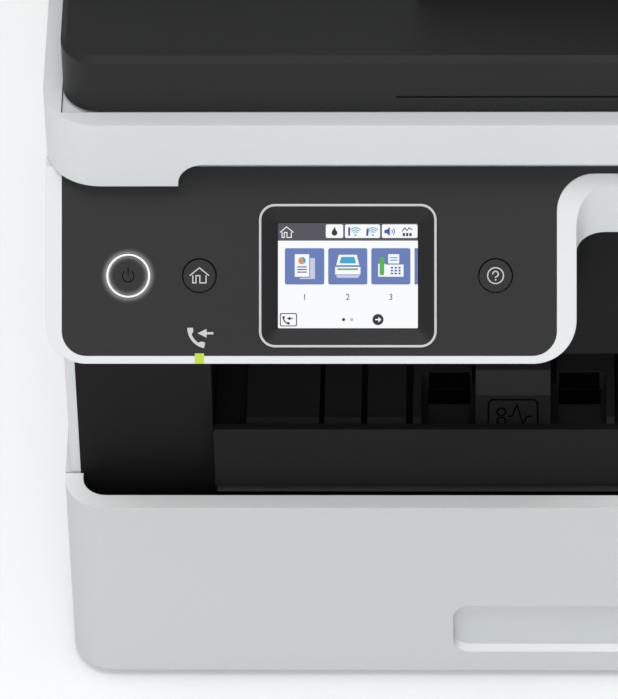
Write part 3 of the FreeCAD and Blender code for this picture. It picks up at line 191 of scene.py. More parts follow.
class Tree:
    """Adds nodes to one shader or geometry tree and links them."""

    def __init__(self, tree: bpy.types.NodeTree) -> None:
        """Hold the tree that nodes go into."""
        self.tree = tree

    def add(self, kind: str, settings: dict | None = None, **sockets: object) -> Node:
        """Add a node with its own settings and its inputs.

        Args:
            kind: The node's type.
            settings: Its own settings by name.
            sockets: Its inputs, named with underscores for spaces.

        Returns:
            The node.
        """
        node = self.tree.nodes.new(kind)
        for name, value in (settings or {}).items():
            setattr(node, name, value)
        self.wire(node, **sockets)
        return node

    def wire(self, node: Node, **sockets: object) -> None:
        """Feed a node's inputs, named with underscores for spaces."""
        for name, value in sockets.items():
            self.feed(node.inputs[name.replace("_", " ")], value)

    def feed(self, socket: Socket, value: object) -> None:
        """Link an output to a socket, or set the socket's own value.

        Args:
            socket: The input to feed.
            value: An output, or a plain value.
        """
        if isinstance(value, bpy.types.NodeSocket):
            self.tree.links.new(value, socket)
        else:
            socket.default_value = value

    def effect(self, group: bpy.types.NodeTree, **sockets: object) -> bpy.types.NodeOutputs:
        """Put a shared group into the tree and return its outputs."""
        return self.add("ShaderNodeGroup", {"node_tree": group}, **sockets).outputs

    def place(self) -> Socket:
        """Return where a point lies on its object."""
        return self.add("ShaderNodeTexCoord").outputs["Object"]

    def axis(self, vector: Socket, name: str) -> Socket:
        """Return one part of a vector."""
        return self.add("ShaderNodeSeparateXYZ", Vector=vector).outputs[name]

    def math(self, operation: str, first: object, second: object = 0.0, clamp: bool = False) -> Socket:
        """Work out a sum on two values.

        Args:
            operation: The sum's name.
            first: An output or a number.
            second: An output or a number.
            clamp: Hold the result between 0 and 1.

        Returns:
            The result.
        """
        node = self.add("ShaderNodeMath", {"operation": operation, "use_clamp": clamp})
        self.feed(node.inputs[0], first)
        self.feed(node.inputs[1], second)
        return node.outputs[0]

    def mix(self, factor: object, first: object, second: object) -> Socket:
        """Mix two colours.

        Args:
            factor: How much of the second colour shows.
            first: A colour or an output.
            second: A colour or an output.

        Returns:
            The mixed colour.
        """
        node = self.add("ShaderNodeMix", {"data_type": "RGBA"})
        for index, value in ((0, factor), (6, first), (7, second)):
            self.feed(node.inputs[index], value)
        return node.outputs[2]

    def spread(self, value: object, low: float, high: float, start: float = 0.0, end: float = 1.0) -> Socket:
        """Return value mapped from low..high to start..end, held at both ends."""
        return self.add("ShaderNodeMapRange", {"clamp": True}, Value=value, From_Min=low, From_Max=high,
                        To_Min=start, To_Max=end).outputs[0]

    def noise(self, vector: object, scale: object, detail: float = 2.0) -> Socket:
        """Return a noise value about 0.5 at a place."""
        return self.add("ShaderNodeTexNoise", Vector=vector, Scale=scale, Detail=detail).outputs[0]

    def stretched(self, vector: Socket, scale: Spot) -> Socket:
        """Return a place scaled by a factor on each axis."""
        return self.add("ShaderNodeMapping", Vector=vector, Scale=scale).outputs[0]


def new_group(name: str, inputs: Sequence[tuple[str, str, object]], outputs: Sequence[tuple[str, str]],
              kind: str = "Shader") -> tuple[Tree, Node, Node]:
    """Make an empty node group.

    Args:
        name: The group's name.
        inputs: Name, kind and default of each input.
        outputs: Name and kind of each output.
        kind: Shader or Geometry.

    Returns:
        The group's node adder, and its input and output nodes.
    """
    group = bpy.data.node_groups.new(name, f"{kind}NodeTree")
    for label, type_name, value in inputs:
        socket = group.interface.new_socket(label, in_out="INPUT", socket_type=f"NodeSocket{type_name}")
        if value is not None:
            socket.default_value = value
    for label, type_name in outputs:
        group.interface.new_socket(label, in_out="OUTPUT", socket_type=f"NodeSocket{type_name}")
    tree = Tree(group)
    return tree, tree.add("NodeGroupInput"), tree.add("NodeGroupOutput")


@cache
def grain_group() -> bpy.types.NodeTree:
    """Spark-eroded mould texture: a height for bump and a fine colour speckle.

    Returns:
        The tree, built once.
    """
    tree, start, end = new_group("moulded_grain", [("Vector", "Vector", None), ("Cells", "Float", 1500.0)],
                                 [("Height", "Float"), ("Speckle", "Float")])
    vector, cells = start.outputs["Vector"], start.outputs["Cells"]
    fine = tree.noise(vector, cells, 3.0)
    pits = tree.add("ShaderNodeTexVoronoi", {"feature": "SMOOTH_F1"}, Vector=vector, Scale=cells)
    height = tree.math("ADD", tree.math("MULTIPLY", fine, 0.6),
                       tree.math("MULTIPLY", pits.outputs["Distance"], 0.4))
    tree.wire(end, Height=height, Speckle=tree.noise(vector, tree.math("MULTIPLY", cells, 0.3), 4.0))
    return tree.tree


@cache
def drift_group() -> bpy.types.NodeTree:
    """Roughness that drifts slowly over a surface, with faint wiped streaks.

    Returns:
        The tree, built once.
    """
    tree, start, end = new_group(
        "gloss_drift", [("Vector", "Vector", None), ("Middle", "Float", 0.5), ("Spread", "Float", 0.05)],
        [("Roughness", "Float")])
    vector = start.outputs["Vector"]
    slow = tree.math("SUBTRACT", tree.noise(vector, 11.0, 3.0), 0.5)
    streak = tree.math("SUBTRACT", tree.noise(tree.stretched(vector, (16.0, 120.0, 120.0)), 1.0), 0.5)
    both = tree.math("ADD", tree.math("MULTIPLY", slow, 2.0), tree.math("MULTIPLY", streak, 0.7))
    change = tree.math("MULTIPLY", both, start.outputs["Spread"])
    tree.wire(end, Roughness=tree.math("ADD", start.outputs["Middle"], change, clamp=True))
    return tree.tree


@cache
def wear_group() -> bpy.types.NodeTree:
    """Mask of handled edges: where the rounded normal leaves the flat one, broken up by noise.

    Returns:
        The tree, built once.
    """
    tree, start, end = new_group(
        "edge_wear", [("Vector", "Vector", None), ("Round", "Vector", None), ("Amount", "Float", 1.0)],
        [("Mask", "Float")])
    meet = tree.add("ShaderNodeVectorMath", {"operation": "DOT_PRODUCT"})
    tree.feed(meet.inputs[0], tree.add("ShaderNodeNewGeometry").outputs["True Normal"])
    tree.feed(meet.inputs[1], start.outputs["Round"])
    edge = tree.spread(tree.math("SUBTRACT", 1.0, meet.outputs["Value"]), 0.01, 0.22)
    patches = tree.spread(tree.noise(start.outputs["Vector"], 60.0, 4.0), 0.3, 0.7, 0.35, 1.0)
    worn = tree.math("MULTIPLY", edge, patches)
    tree.wire(end, Mask=tree.math("MULTIPLY", worn, start.outputs["Amount"], clamp=True))
    return tree.tree


@cache
def brush_group() -> bpy.types.NodeTree:
    """Rolled and brushed sheet metal: fine lines along X with a slow cloud.

    Returns:
        The tree, built once.
    """
    tree, start, end = new_group("brushed_lines", [("Vector", "Vector", None)],
                                 [("Height", "Float"), ("Cloud", "Float")])
    vector = start.outputs["Vector"]
    tree.wire(end, Height=tree.noise(tree.stretched(vector, (30.0, 2600.0, 2600.0)), 1.0),
              Cloud=tree.noise(vector, 24.0, 3.0))
    return tree.tree


@dataclass(frozen=True)
class Plane:
    """A flat working face, given by a corner and two directions."""

    origin: Spot
    right: Spot = (1.0, 0.0, 0.0)
    up: Spot = (0.0, 1.0, 0.0)

    def rigid(self, lift: float = 0.0) -> Matrix:
        """Place the face in metres.

        Args:
            lift: Height above the face in millimetres.

        Returns:
            A turn and a shift in metres.
        """
        right, up = Vector(self.right).normalized(), Vector(self.up).normalized()
        out = right.cross(up)
        spot = (Vector(self.origin) + out * lift) * MM
        return Matrix((*((right[i], up[i], out[i], spot[i]) for i in range(3)), (0.0, 0.0, 0.0, 1.0)))

    def matrix(self, lift: float = 0.0) -> Matrix:
        """Return the placement from millimetres on the face to metres in the printer's frame."""
        return self.rigid(lift) @ Matrix.Scale(MM, 4)


class Side(Enum):
    """Directions that a level or upright face can look in, as its right and up directions."""

    TOP = ((1.0, 0.0, 0.0), (0.0, 1.0, 0.0))
    FRONT = ((1.0, 0.0, 0.0), (0.0, 0.0, 1.0))
    REAR = ((-1.0, 0.0, 0.0), (0.0, 0.0, 1.0))
    LEFT = ((0.0, -1.0, 0.0), (0.0, 0.0, 1.0))
    RIGHT = ((0.0, 1.0, 0.0), (0.0, 0.0, 1.0))

    def at(self, place: float) -> Plane:
        """Put a face that looks this way at a place on its own axis.

        Args:
            place: Where the face lies on the axis it looks along.

        Returns:
            The face.
        """
        right, up = self.value
        axis = next(index for index in range(3) if right[index] == up[index] == 0.0)
        return Plane(tuple(place if index == axis else 0.0 for index in range(3)), right, up)


SLOPE = math.sqrt(0.5)
PANEL = Plane((0.0, -173.5, 199.0), up=(0.0, SLOPE, SLOPE))
FEEDER_SLOPE = Plane((-74.0, 0.0, 312.6), right=(184.0, 0.0, 28.0))
REAR_WALL = Side.REAR.at(165.0)
RATING_FACE = Side.REAR.at(165.05)
SCANNER_TOP = Side.TOP.at(275.5)
SCAN_BAR_TOP = Side.TOP.at(268.5)
BOARD_FACE = Side.FRONT.at(155.9)
TANK_FACE = Side.FRONT.at(-114.5)
CASSETTE_FLOOR = Side.TOP.at(8.4)
GUIDE_FLOOR = Side.TOP.at(98.15)
KEY_RISE = 30.6
POWER_X = -158.8
RING_RADIUS = 7.3
TANK_LEFT = 97.5
TANK_PITCH = 20.5
WELD = 0.002 * MM


@dataclass(frozen=True)
class Finish:
    """One way to dress a surface."""

    name: str

    def make(self) -> bpy.types.Material:
        """Build the material.

        Returns:
            The new material.
        """
        material = bpy.data.materials.new(self.name)
        material.use_nodes = True
        self.dress(Tree(material.node_tree), material.node_tree.nodes["Principled BSDF"])
        return material

    def dress(self, tree: Tree, shader: Node) -> None:
        """Wire the finish into a Principled shader.

        Args:
            tree: The material's nodes.
            shader: Its Principled shader.
        """
        raise NotImplementedError


@dataclass(frozen=True)
class Moulded(Finish):
    """Moulded plastic or rubber: grain, gloss drift and lighter handled edges."""

    shade: Tone
    edge: Tone
    roughness: float = 0.5
    depth: float = 0.03
    wear: float = 0.35
    specular: float = 0.5
    cells: float = 1500.0
    speckle: float = 0.05
    round_mm: float = 0.35
    drift: ClassVar[float] = 0.06
    bump: ClassVar[float] = 0.35

    def dress(self, tree: Tree, shader: Node) -> None:
        """Wire the finish into a Principled shader.

        Args:
            tree: The material's nodes.
            shader: Its Principled shader.
        """
        place = tree.place()
        rounded_normal = tree.add("ShaderNodeBevel", {"samples": 4}, Radius=self.round_mm * MM).outputs[0]
        grain = tree.effect(grain_group(), Vector=place, Cells=self.cells)
        wear = tree.effect(wear_group(), Vector=place, Round=rounded_normal, Amount=self.wear)
        drift = tree.effect(drift_group(), Vector=place, Middle=self.roughness, Spread=self.drift)
        ground = tree.mix(grain["Speckle"], self.shade.times(1 - self.speckle),
                          self.shade.times(1 + self.speckle))
        bump = tree.add("ShaderNodeBump", Strength=self.bump, Distance=self.depth * MM,
                        Height=grain["Height"], Normal=rounded_normal)
        tree.wire(shader, Base_Color=tree.mix(wear["Mask"], ground, self.edge.linear),
                  Roughness=drift["Roughness"], Specular_IOR_Level=self.specular, Normal=bump.outputs[0])


def ring_gap(tree: Tree) -> Socket:
    """Measure how far a point lies from the middle line of the light ring.

    Args:
        tree: The material's nodes.

    Returns:
        The distance in metres.
    """
    away = tree.add("ShaderNodeVectorMath", {"operation": "DISTANCE"})
    tree.feed(away.inputs[0], tree.place())
    tree.feed(away.inputs[1], PANEL.matrix() @ Vector((POWER_X, KEY_RISE, 0.0)))
    return tree.math("ABSOLUTE", tree.math("SUBTRACT", away.outputs["Value"], RING_RADIUS * MM))


@dataclass(frozen=True)
class Glowing(Moulded):
    """Black plastic with the light ring's glow on it, which fades over a reach."""

    level: float = 0.35
    reach: float = 2.8
    core: ClassVar[float] = 0.2
    fall: ClassVar[float] = 2.6

    def dress(self, tree: Tree, shader: Node) -> None:
        """Wire the plastic and its glow.

        Args:
            tree: The material's nodes.
            shader: Its Principled shader.
        """
        super().dress(tree, shader)
        near = tree.spread(ring_gap(tree), self.core * MM, self.reach * MM, 1.0, 0.0)
        glow = tree.mix(tree.math("POWER", near, self.fall), BLACK, (self.level, self.level, self.level, 1.0))
        tree.wire(shader, Emission_Color=glow, Emission_Strength=1.0)


@dataclass(frozen=True)
class LightRing(Finish):
    """The white line round the power key, brightest in its middle."""

    line: float = 0.8
    core: float = 0.1
    bright: float = 1.15
    dim: float = 0.3

    def dress(self, tree: Tree, shader: Node) -> None:
        """Wire the light.

        Args:
            tree: The material's nodes.
            shader: Its Principled shader.
        """
        level = tree.spread(ring_gap(tree), self.core * MM, self.line / 2 * MM, self.bright, self.dim)
        tree.wire(shader, Base_Color=Shade.KEY.linear, Emission_Color=Shade.LIGHT.linear,
                  Emission_Strength=level)


@dataclass(frozen=True)
class InkTank(Moulded):
    """Milky tank walls, with each ink showing up to its level."""

    levels: tuple[float, ...] = (164.0, 158.0, 168.0, 152.0)
    blur: ClassVar[float] = 0.6
    strength: ClassVar[float] = 0.94

    def dress(self, tree: Tree, shader: Node) -> None:
        """Wire the walls and the inks.

        Args:
            tree: The material's nodes.
            shader: Its Principled shader.
        """
        super().dress(tree, shader)
        colour = shader.inputs["Base Color"].links[0].from_socket
        place = tree.place()
        across, high = tree.axis(place, "X"), tree.axis(place, "Z")
        for number, (ink, level) in enumerate(zip(Ink, self.levels)):
            start = (TANK_LEFT + number * TANK_PITCH) * MM
            inside = tree.math("MULTIPLY", tree.math("GREATER_THAN", across, start),
                               tree.math("LESS_THAN", across, start + TANK_PITCH * MM))
            below = tree.spread(high, level * MM, (level + self.blur) * MM, self.strength, 0.0)
            colour = tree.mix(tree.math("MULTIPLY", inside, below), colour, ink.linear)
        tree.wire(shader, Base_Color=colour)


@dataclass(frozen=True)
class CircuitBoard(Moulded):
    """Solder mask with tracks and pads, and black sockets behind it."""

    sockets_from: float = 157.6
    tracks: ClassVar[float] = 130.0
    track_line: ClassVar[float] = 0.03
    track_light: ClassVar[float] = 2.1

    def dress(self, tree: Tree, shader: Node) -> None:
        """Wire the board and its sockets.

        Args:
            tree: The material's nodes.
            shader: Its Principled shader.
        """
        super().dress(tree, shader)
        mask = shader.inputs["Base Color"].links[0].from_socket
        place = tree.place()
        turn = (math.radians(90), 0.0, 0.0)
        upright = tree.add("ShaderNodeMapping", Vector=place, Rotation=turn).outputs[0]
        tracks = tree.add("ShaderNodeTexBrick", {"offset": 0.37, "squash": 0.6}, Vector=upright,
                          Scale=self.tracks, Mortar_Size=self.track_line)
        faced = tree.mix(tracks.outputs["Fac"], mask, self.shade.times(self.track_light))
        socket = tree.math("GREATER_THAN", tree.axis(place, "Y"), self.sockets_from * MM)
        tree.wire(shader, Base_Color=tree.mix(socket, faced, Shade.CHIP.linear))


@dataclass(frozen=True)
class DrawerFront(Moulded):
    """Cassette front casing in a painted shade darker than the casing, with a painted highlight on its upward
    faces.
    """

    rim: Shade = Shade.DRAWER_RIM_HIGHLIGHT
    lean: ClassVar[Point] = (0.3, 0.8)

    def dress(self, tree: Tree, shader: Node) -> None:
        """Wire the front and the painted highlight on its rim.

        Args:
            tree: The material's nodes.
            shader: Its Principled shader.
        """
        super().dress(tree, shader)
        wall = shader.inputs["Base Color"].links[0].from_socket
        normal = tree.add("ShaderNodeNewGeometry").outputs["True Normal"]
        # Painted highlight: faces that look upwards take the pale rim colour.
        highlight_mask = tree.spread(tree.axis(normal, "Z"), *self.lean)
        tree.wire(shader, Base_Color=tree.mix(highlight_mask, wall, self.rim.linear))


@dataclass(frozen=True)
class Metal(Finish):
    """Rolled steel sheet or bright trim."""

    shade: Shade
    roughness: float = 0.32
    metallic: float = 1.0
    dull: ClassVar[float] = 0.82
    drift: ClassVar[float] = 0.12
    bump: ClassVar[float] = 0.2
    depth: ClassVar[float] = 0.01

    def dress(self, tree: Tree, shader: Node) -> None:
        """Wire the brushed lines and the gloss.

        Args:
            tree: The material's nodes.
            shader: Its Principled shader.
        """
        place = tree.place()
        lines = tree.effect(brush_group(), Vector=place)
        drift = tree.effect(drift_group(), Vector=place, Middle=self.roughness, Spread=self.drift)
        bump = tree.add("ShaderNodeBump", Strength=self.bump, Distance=self.depth * MM,
                        Height=lines["Height"])
        tree.wire(shader, Base_Color=tree.mix(lines["Cloud"], self.shade.times(self.dull), self.shade.linear),
                  Roughness=drift["Roughness"], Metallic=self.metallic, Normal=bump.outputs[0])


@dataclass(frozen=True)
class Clear(Finish):
    """Glass or clear plastic with wiped streaks in its gloss."""

    tint: Colour
    roughness: float
    ior: float
    drift: ClassVar[float] = 0.02

    def dress(self, tree: Tree, shader: Node) -> None:
        """Wire the clear material.

        Args:
            tree: The material's nodes.
            shader: Its Principled shader.
        """
        drift = tree.effect(drift_group(), Vector=tree.place(), Middle=self.roughness, Spread=self.drift)
        tree.wire(shader, Base_Color=self.tint, Roughness=drift["Roughness"], Transmission_Weight=1.0,
                  IOR=self.ior)


@dataclass(frozen=True)
class Lit(Finish):
    """A surface that glows evenly, such as a screen's picture or a lamp."""

    shade: Tone
    strength: float = 1.0
    roughness: ClassVar[float] = 0.4
    specular: ClassVar[float] = 0.1
    unlit: ClassVar[Colour] = (0.004, 0.004, 0.004, 1.0)
    uneven: ClassVar[float] = 0.97
    cells: ClassVar[float] = 900.0
    drift: ClassVar[float] = 0.04

    def dress(self, tree: Tree, shader: Node) -> None:
        """Wire the glow.

        Args:
            tree: The material's nodes.
            shader: Its Principled shader.
        """
        place = tree.place()
        drift = tree.effect(drift_group(), Vector=place, Middle=self.roughness, Spread=self.drift)
        glow = tree.mix(tree.noise(place, self.cells, 1.0), self.shade.times(self.uneven), self.shade.linear)
        tree.wire(shader, Base_Color=self.unlit, Emission_Color=glow, Emission_Strength=self.strength,
                  Specular_IOR_Level=self.specular, Roughness=drift["Roughness"])


def black(name: str, shade: Shade, roughness: float, depth: float, wear: float = 0.35, specular: float = 0.5,
          **more: float) -> Moulded:
    """Return a dark moulding whose edges wear to the common grey."""
    return Moulded(name, shade, Shade.BLACK_EDGE, roughness, depth, wear, specular, **more)


def printed(name: str, shade: Tone) -> Moulded:
    """Return a thin printed mark."""
    return Moulded(name, shade, shade, 0.6, 0.004, 0.0, round_mm=0.05)


RECIPES: dict[str, Finish] = {recipe.name: recipe for recipe in (
    Moulded("light_casing", Shade.CASING, Shade.CASING_EDGE, 0.46, 0.02, 0.5, speckle=0.012),
    Moulded("white_pad", Shade.PAD_WHITE, Shade.CASING_EDGE, 0.8, 0.05, cells=1100.0, speckle=0.02),
    Moulded("engraved", Shade.ENGRAVED, Shade.ENGRAVED, 0.8, 0.01, 0.0, 0.05, round_mm=0.1),
    black("black_casing", Shade.COVER_BLACK, 0.55, 0.05, specular=0.25, cells=1300.0),
    black("black_inner", Shade.INNER_BLACK, 0.6, 0.04, 0.3, 0.12),
    black("guide_black", Shade.GUIDE_BLACK, 0.55, 0.04, 0.2, 0.2),
    black("jam_guide", Shade.JAM_GUIDE, 0.55, 0.04, 0.2, 0.2),
    black("screen_frame", Shade.BEZEL, 0.42, 0.008, 0.2, 0.2),
    black("key", Shade.KEY, 0.5, 0.015, 0.15, 0.25),
    black("rubber", Shade.RUBBER, 0.85, 0.06, specular=0.3, cells=900.0),
    black("roller_rubber", Shade.ROLLER, 0.75, 0.08, specular=0.3, cells=700.0),
    black("belt", Shade.BELT, 0.8, 0.05),
    black("supply", Shade.SUPPLY, 0.5, 0.04),
    black("chip", Shade.CHIP, 0.45, 0.01),
    printed("icon", Shade.ICON),
    printed("icon_dark", Shade.ICON_DARK),
    *(Moulded(ink.finish_name, ink, ink, 0.4, 0.01, 0.0) for ink in Ink),
    Glowing("panel_face", Shade.PANEL_BLACK, Shade.BLACK_EDGE, 0.52, 0.03, 0.1, 0.25),
    Glowing("power_key", Shade.KEY, Shade.BLACK_EDGE, 0.5, 0.015, 0.15, 0.25, level=0.3, reach=2.6),
    LightRing("light_ring"),
    InkTank("tank", Shade.TANK, Shade.CASING_EDGE, 0.32, 0.01, 0.2, speckle=0.01),
    CircuitBoard("board", Shade.BOARD, Shade.GOLD, 0.3, 0.01, 0.1),
    # Cassette front: painted shade on its front, and a painted highlight on its upward rim.
    DrawerFront("drawer_casing_painted_light", Shade.DRAWER_SHADED, Shade.CASING_EDGE, 0.46, 0.02, 0.5, speckle=0.012),
    Metal("steel", Shade.STEEL),
    Metal("silver_line", Shade.SILVER, 0.5, 0.25),
    Metal("gold", Shade.GOLD, 0.25),
    Clear("glass", (0.94, 0.97, 0.96, 1.0), 0.02, 1.5),
    Clear("window", (0.93, 0.95, 0.96, 1.0), 0.06, 1.49),
    Lit("lamp", Shade.LAMP, 0.95),
    Lit("screen", Picture.WHITE, 1.06),
    *(Lit(f"screen_{tone.name.lower()}", tone) for tone in Picture if tone is not Picture.WHITE),
)}


@cache
def finish(name: str) -> bpy.types.Material:
    """Return the material of a finish, by the record's slot or by its own name."""
    return RECIPES[name].make()


def arc(x: float, y: float, radius: float, start: float, end: float, steps: int = 12) -> Loop:
    """Return points on an arc, with angles in degrees."""
    turns = [math.radians(start + (end - start) * step / steps) for step in range(steps + 1)]
    return [(x + radius * math.cos(turn), y + radius * math.sin(turn)) for turn in turns]


def circle(x: float, y: float, radius: float, steps: int = 40) -> Loop:
    """Return a closed circle."""
    return arc(x, y, radius, 0.0, 360.0, steps)[:-1]


def ring(x: float, y: float, radius: float, line: float, steps: int = 48) -> list[Loop]:
    """Return a circle line as an outer and an inner loop."""
    return [circle(x, y, radius + line / 2, steps), circle(x, y, radius - line / 2, steps)]


def oblong(x0: float, y0: float, x1: float, y1: float) -> Loop:
    """Return a rectangle."""
    return [(x0, y0), (x1, y0), (x1, y1), (x0, y1)]


def rounded(x0: float, y0: float, x1: float, y1: float, radius: float, steps: int = 6) -> Loop:
    """Draw a rectangle with round corners.

    Args:
        x0: Its left.
        y0: Its foot.
        x1: Its right.
        y1: Its top.
        radius: Radius of the corners.
        steps: Lines in each corner.

    Returns:
        The outline, from its lower right corner on.
    """
    corners = ((x1 - radius, y0 + radius, -90), (x1 - radius, y1 - radius, 0),
               (x0 + radius, y1 - radius, 90), (x0 + radius, y0 + radius, 180))
    return [spot for x, y, turn in corners for spot in arc(x, y, radius, turn, turn + 90, steps)]


def stroke(points: Loop, line: float) -> Loop:
    """Draw a line of even width through points, with mitred corners.

    Args:
        points: The points on its middle.
        line: Its width.

    Returns:
        The outline.
    """
    sides: tuple[Loop, Loop] = ([], [])
    sharpest = 0.35
    for index, (x, y) in enumerate(points):
        before, after = points[max(index - 1, 0)], points[min(index + 1, len(points) - 1)]
        first = Vector((x - before[0], y - before[1]))
        second = Vector((after[0] - x, after[1] - y))
        first = first.normalized() if first.length else second.normalized()
        second = second.normalized() if second.length else first
        middle = (first + second).normalized()
        normal = Vector((-middle.y, middle.x)) * (line / 2 / max(sharpest, middle.dot(first)))
        sides[0].append((x + normal.x, y + normal.y))
        sides[1].append((x - normal.x, y - normal.y))
    return sides[0] + sides[1][::-1]


def swollen_arc(x: float, y: float, radius: float, start: float, end: float, slim: float, fat: float) -> Loop:
    """Draw a handset: an arc that is slim in its middle and fat at both ends.

    Args:
        x: The arc's middle point across.
        y: The arc's middle point up.
        radius: Its radius.
        start: Angle of its first end in degrees.
        end: Angle of its other end in degrees.
        slim: Width of its middle.
        fat: Width of its ends.

    Returns:
        The outline.
    """
    outer, inner = [], []
    steps, slim_share, steep = 24, 0.45, 3.0
    for step in range(steps + 1):
        part = step / steps
        ends = max(0.0, abs(part - 0.5) * 2 - slim_share) / (1 - slim_share)
        swell = (fat - slim) * min(1.0, ends * steep)
        turn = math.radians(start + (end - start) * part)
        for side, reach in ((outer, slim / 2), (inner, -slim / 2 - swell)):
            side.append((x + (radius + reach) * math.cos(turn), y + (radius + reach) * math.sin(turn)))
    return outer + inner[::-1]


def drop(tip: float, waist: Point, low: float, radius: float, steps: int) -> Loop:
    """Return a drop with its tip up, a waist on both sides and a round foot."""
    return [(0.0, tip), waist, *arc(0.0, low, radius, 35.0, -215.0, steps), (-waist[0], waist[1])]


def moved(loops: Iterable[Loop], x: float, y: float, size: float = 1.0) -> list[Loop]:
    """Return loops scaled about their own origin and set down at a place."""
    return [[(x + px * size, y + py * size) for px, py in loop] for loop in loops]


def house(line: float) -> list[Loop]:
    """Draw a house with its door left of the middle, about 7 mm wide.

    Args:
        line: Width of its lines.

    Returns:
        The outlines of the roof and the walls.
    """
    walls = [(-2.3, 0.15), (-2.3, -2.5), (-1.2, -2.5), (-1.2, 0.0), (0.15, 0.0), (0.15, -2.5), (2.3, -2.5),
             (2.3, 0.15)]
    return [stroke([(-3.35, 0.0), (0.0, 2.75), (3.35, 0.0)], line), stroke(walls, line)]


def handset() -> list[Loop]:
    """Draw a handset with an arrow that comes in from the right, about 9 mm wide.

    Returns:
        The outlines of both.
    """
    phone = swollen_arc(2.7, 3.4, 6.7, 180.0, 259.0, 1.05, 2.0)
    arrow = [(4.55, 1.1), (2.2, 1.1), (2.2, -0.05), (-0.95, 1.5), (2.2, 3.05), (2.2, 1.9), (4.55, 1.9)]
    return [phone, arrow]


def linked(name: str, data: bpy.types.ID) -> bpy.types.Object:
    """Put a new object into the scene.

    Args:
        name: The object's name.
        data: What it shows.

    Returns:
        The object.
    """
    thing = bpy.data.objects.new(name, data)
    bpy.context.scene.collection.objects.link(thing)
    return thing


def plain_mesh(source: bpy.types.Object, name: str) -> Mesh:
    """Turn an evaluated object into a plain mesh and remove the object.

    Args:
        source: The object, with its modifiers or its curve.
        name: The mesh's name.

    Returns:
        The mesh.
    """
    bpy.context.view_layer.update()
    graph = bpy.context.evaluated_depsgraph_get()
    mesh = bpy.data.meshes.new_from_object(source.evaluated_get(graph), depsgraph=graph)
    mesh.name = name
    bpy.data.objects.remove(source)
    return mesh


def add_piece(name: str, mesh: Mesh, body: Body, finish_name: str | None = None
              ) -> bpy.types.Object:
    """Put a finished mesh into the scene on its body.

    Args:
        name: The piece's name.
        mesh: Its mesh, already in place.
        body: The body it moves with.
        finish_name: Its only finish, or none where the mesh has its own.

    Returns:
        The new object.
    """
    if finish_name:
        mesh.materials.clear()
        mesh.materials.append(finish(finish_name))
    piece = linked(name, mesh)
    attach(piece, body.value)
    log.info("piece %s: %d faces on %s", name, len(mesh.polygons), body.value)
    return piece


def inlay(name: str, loops: Sequence[Loop], plane: Plane, finish_name: str, body: Body = Body.PRINTER,
          lift: float = LAYER, thick: float = LAYER) -> None:
    """Add a thin printed or inlaid mark on a face.

    Args:
        name: The piece's name.
        loops: Closed outlines on the plane; loops inside others are holes.
        plane: The face that the mark lies on.
        finish_name: Its finish.
        body: The body it moves with.
        lift: How far the mark's middle stands off the face.
        thick: The mark's thickness.
    """
    curve = bpy.data.curves.new(name, "CURVE")
    curve.dimensions, curve.fill_mode, curve.extrude = "2D", "BOTH", thick / 2
    for loop in loops:
        spline = curve.splines.new("POLY")
        spline.points.add(len(loop) - 1)
        for point, (x, y) in zip(spline.points, loop):
            point.co = (x, y, 0.0, 1.0)
        spline.use_cyclic_u = True
    mesh = plain_mesh(linked(f"{name}_outline", curve), name)
    mesh.transform(plane.matrix(lift))
    add_piece(name, mesh, body, finish_name)


def numeral(name: str, text: str, tall: float, spot: Point, lift: float) -> None:
    """Add a plain number to the screen's picture, centred on a spot of the panel.

    Args:
        name: The piece's name.
        text: The number.
        tall: The figures' size.
        spot: Its middle on the panel.
        lift: How far its middle stands off the panel.
    """
    curve = bpy.data.curves.new(name, "FONT")
    curve.body, curve.size, curve.extrude = text, tall, LAYER / 2
    curve.align_x = curve.align_y = "CENTER"
    mesh = plain_mesh(linked(f"{name}_outline", curve), name)
    mesh.transform(PANEL.matrix(lift) @ Matrix.Translation((*spot, 0.0)))
    add_piece(name, mesh, Body.PRINTER, "screen_ink")


def lofted(name: str, loops: Sequence[Sequence[Spot]], plane: Plane) -> Mesh:
    """Make a closed skin through rings of points, with its normals outwards.

    Args:
        name: The mesh's name.
        loops: Rings of equal length, the last of which joins the first.
        plane: The face that the rings are measured from.

    Returns:
        The mesh, in place.
    """
    work = bmesh.new()
    rings = [[work.verts.new(spot) for spot in loop] for loop in loops]
    count = len(rings[0])
    for first, second in zip(rings, rings[1:] + rings[:1]):
        for index in range(count):
            follow = (index + 1) % count
            work.faces.new((first[index], first[follow], second[follow], second[index]))
    bmesh.ops.recalc_face_normals(work, faces=work.faces)
    mesh = bpy.data.meshes.new(name)
    work.to_mesh(mesh)
    work.free()
    mesh.transform(plane.matrix())
    return mesh


def new_rule(name: str, lengths: Sequence[str], counts: dict[str, int]) -> tuple[Tree, Node, Node]:
    """Make an empty geometry tree.

    Args:
        name: The tree's name.
        lengths: Its inputs that are lengths, in metres.
        counts: Its whole-number inputs and their defaults.

    Returns:
        The tree's node adder, and its input and output nodes.
    """
    shape = ("Geometry", "Geometry")
    inputs = [(*shape, None), *((label, "Float", None) for label in lengths),
              *((label, "Int", value) for label, value in counts.items()), ("Material", "Material", None)]
    return new_group(name, inputs, [shape], "Geometry")


def end_rule(tree: Tree, start: Node, end: Node, geometry: Socket) -> bpy.types.NodeTree:
    """End a geometry tree in real geometry with its material.

    Args:
        tree: The node adder.
        start: The tree's input node.
        end: The tree's output node.
        geometry: What the tree has made.

    Returns:
        The finished tree.
    """
    real = tree.add("GeometryNodeRealizeInstances", Geometry=geometry)
    dressed = tree.add("GeometryNodeSetMaterial", Geometry=real.outputs[0],
                       Material=start.outputs["Material"])
    tree.feed(end.inputs[0], dressed.outputs[0])
    return tree.tree


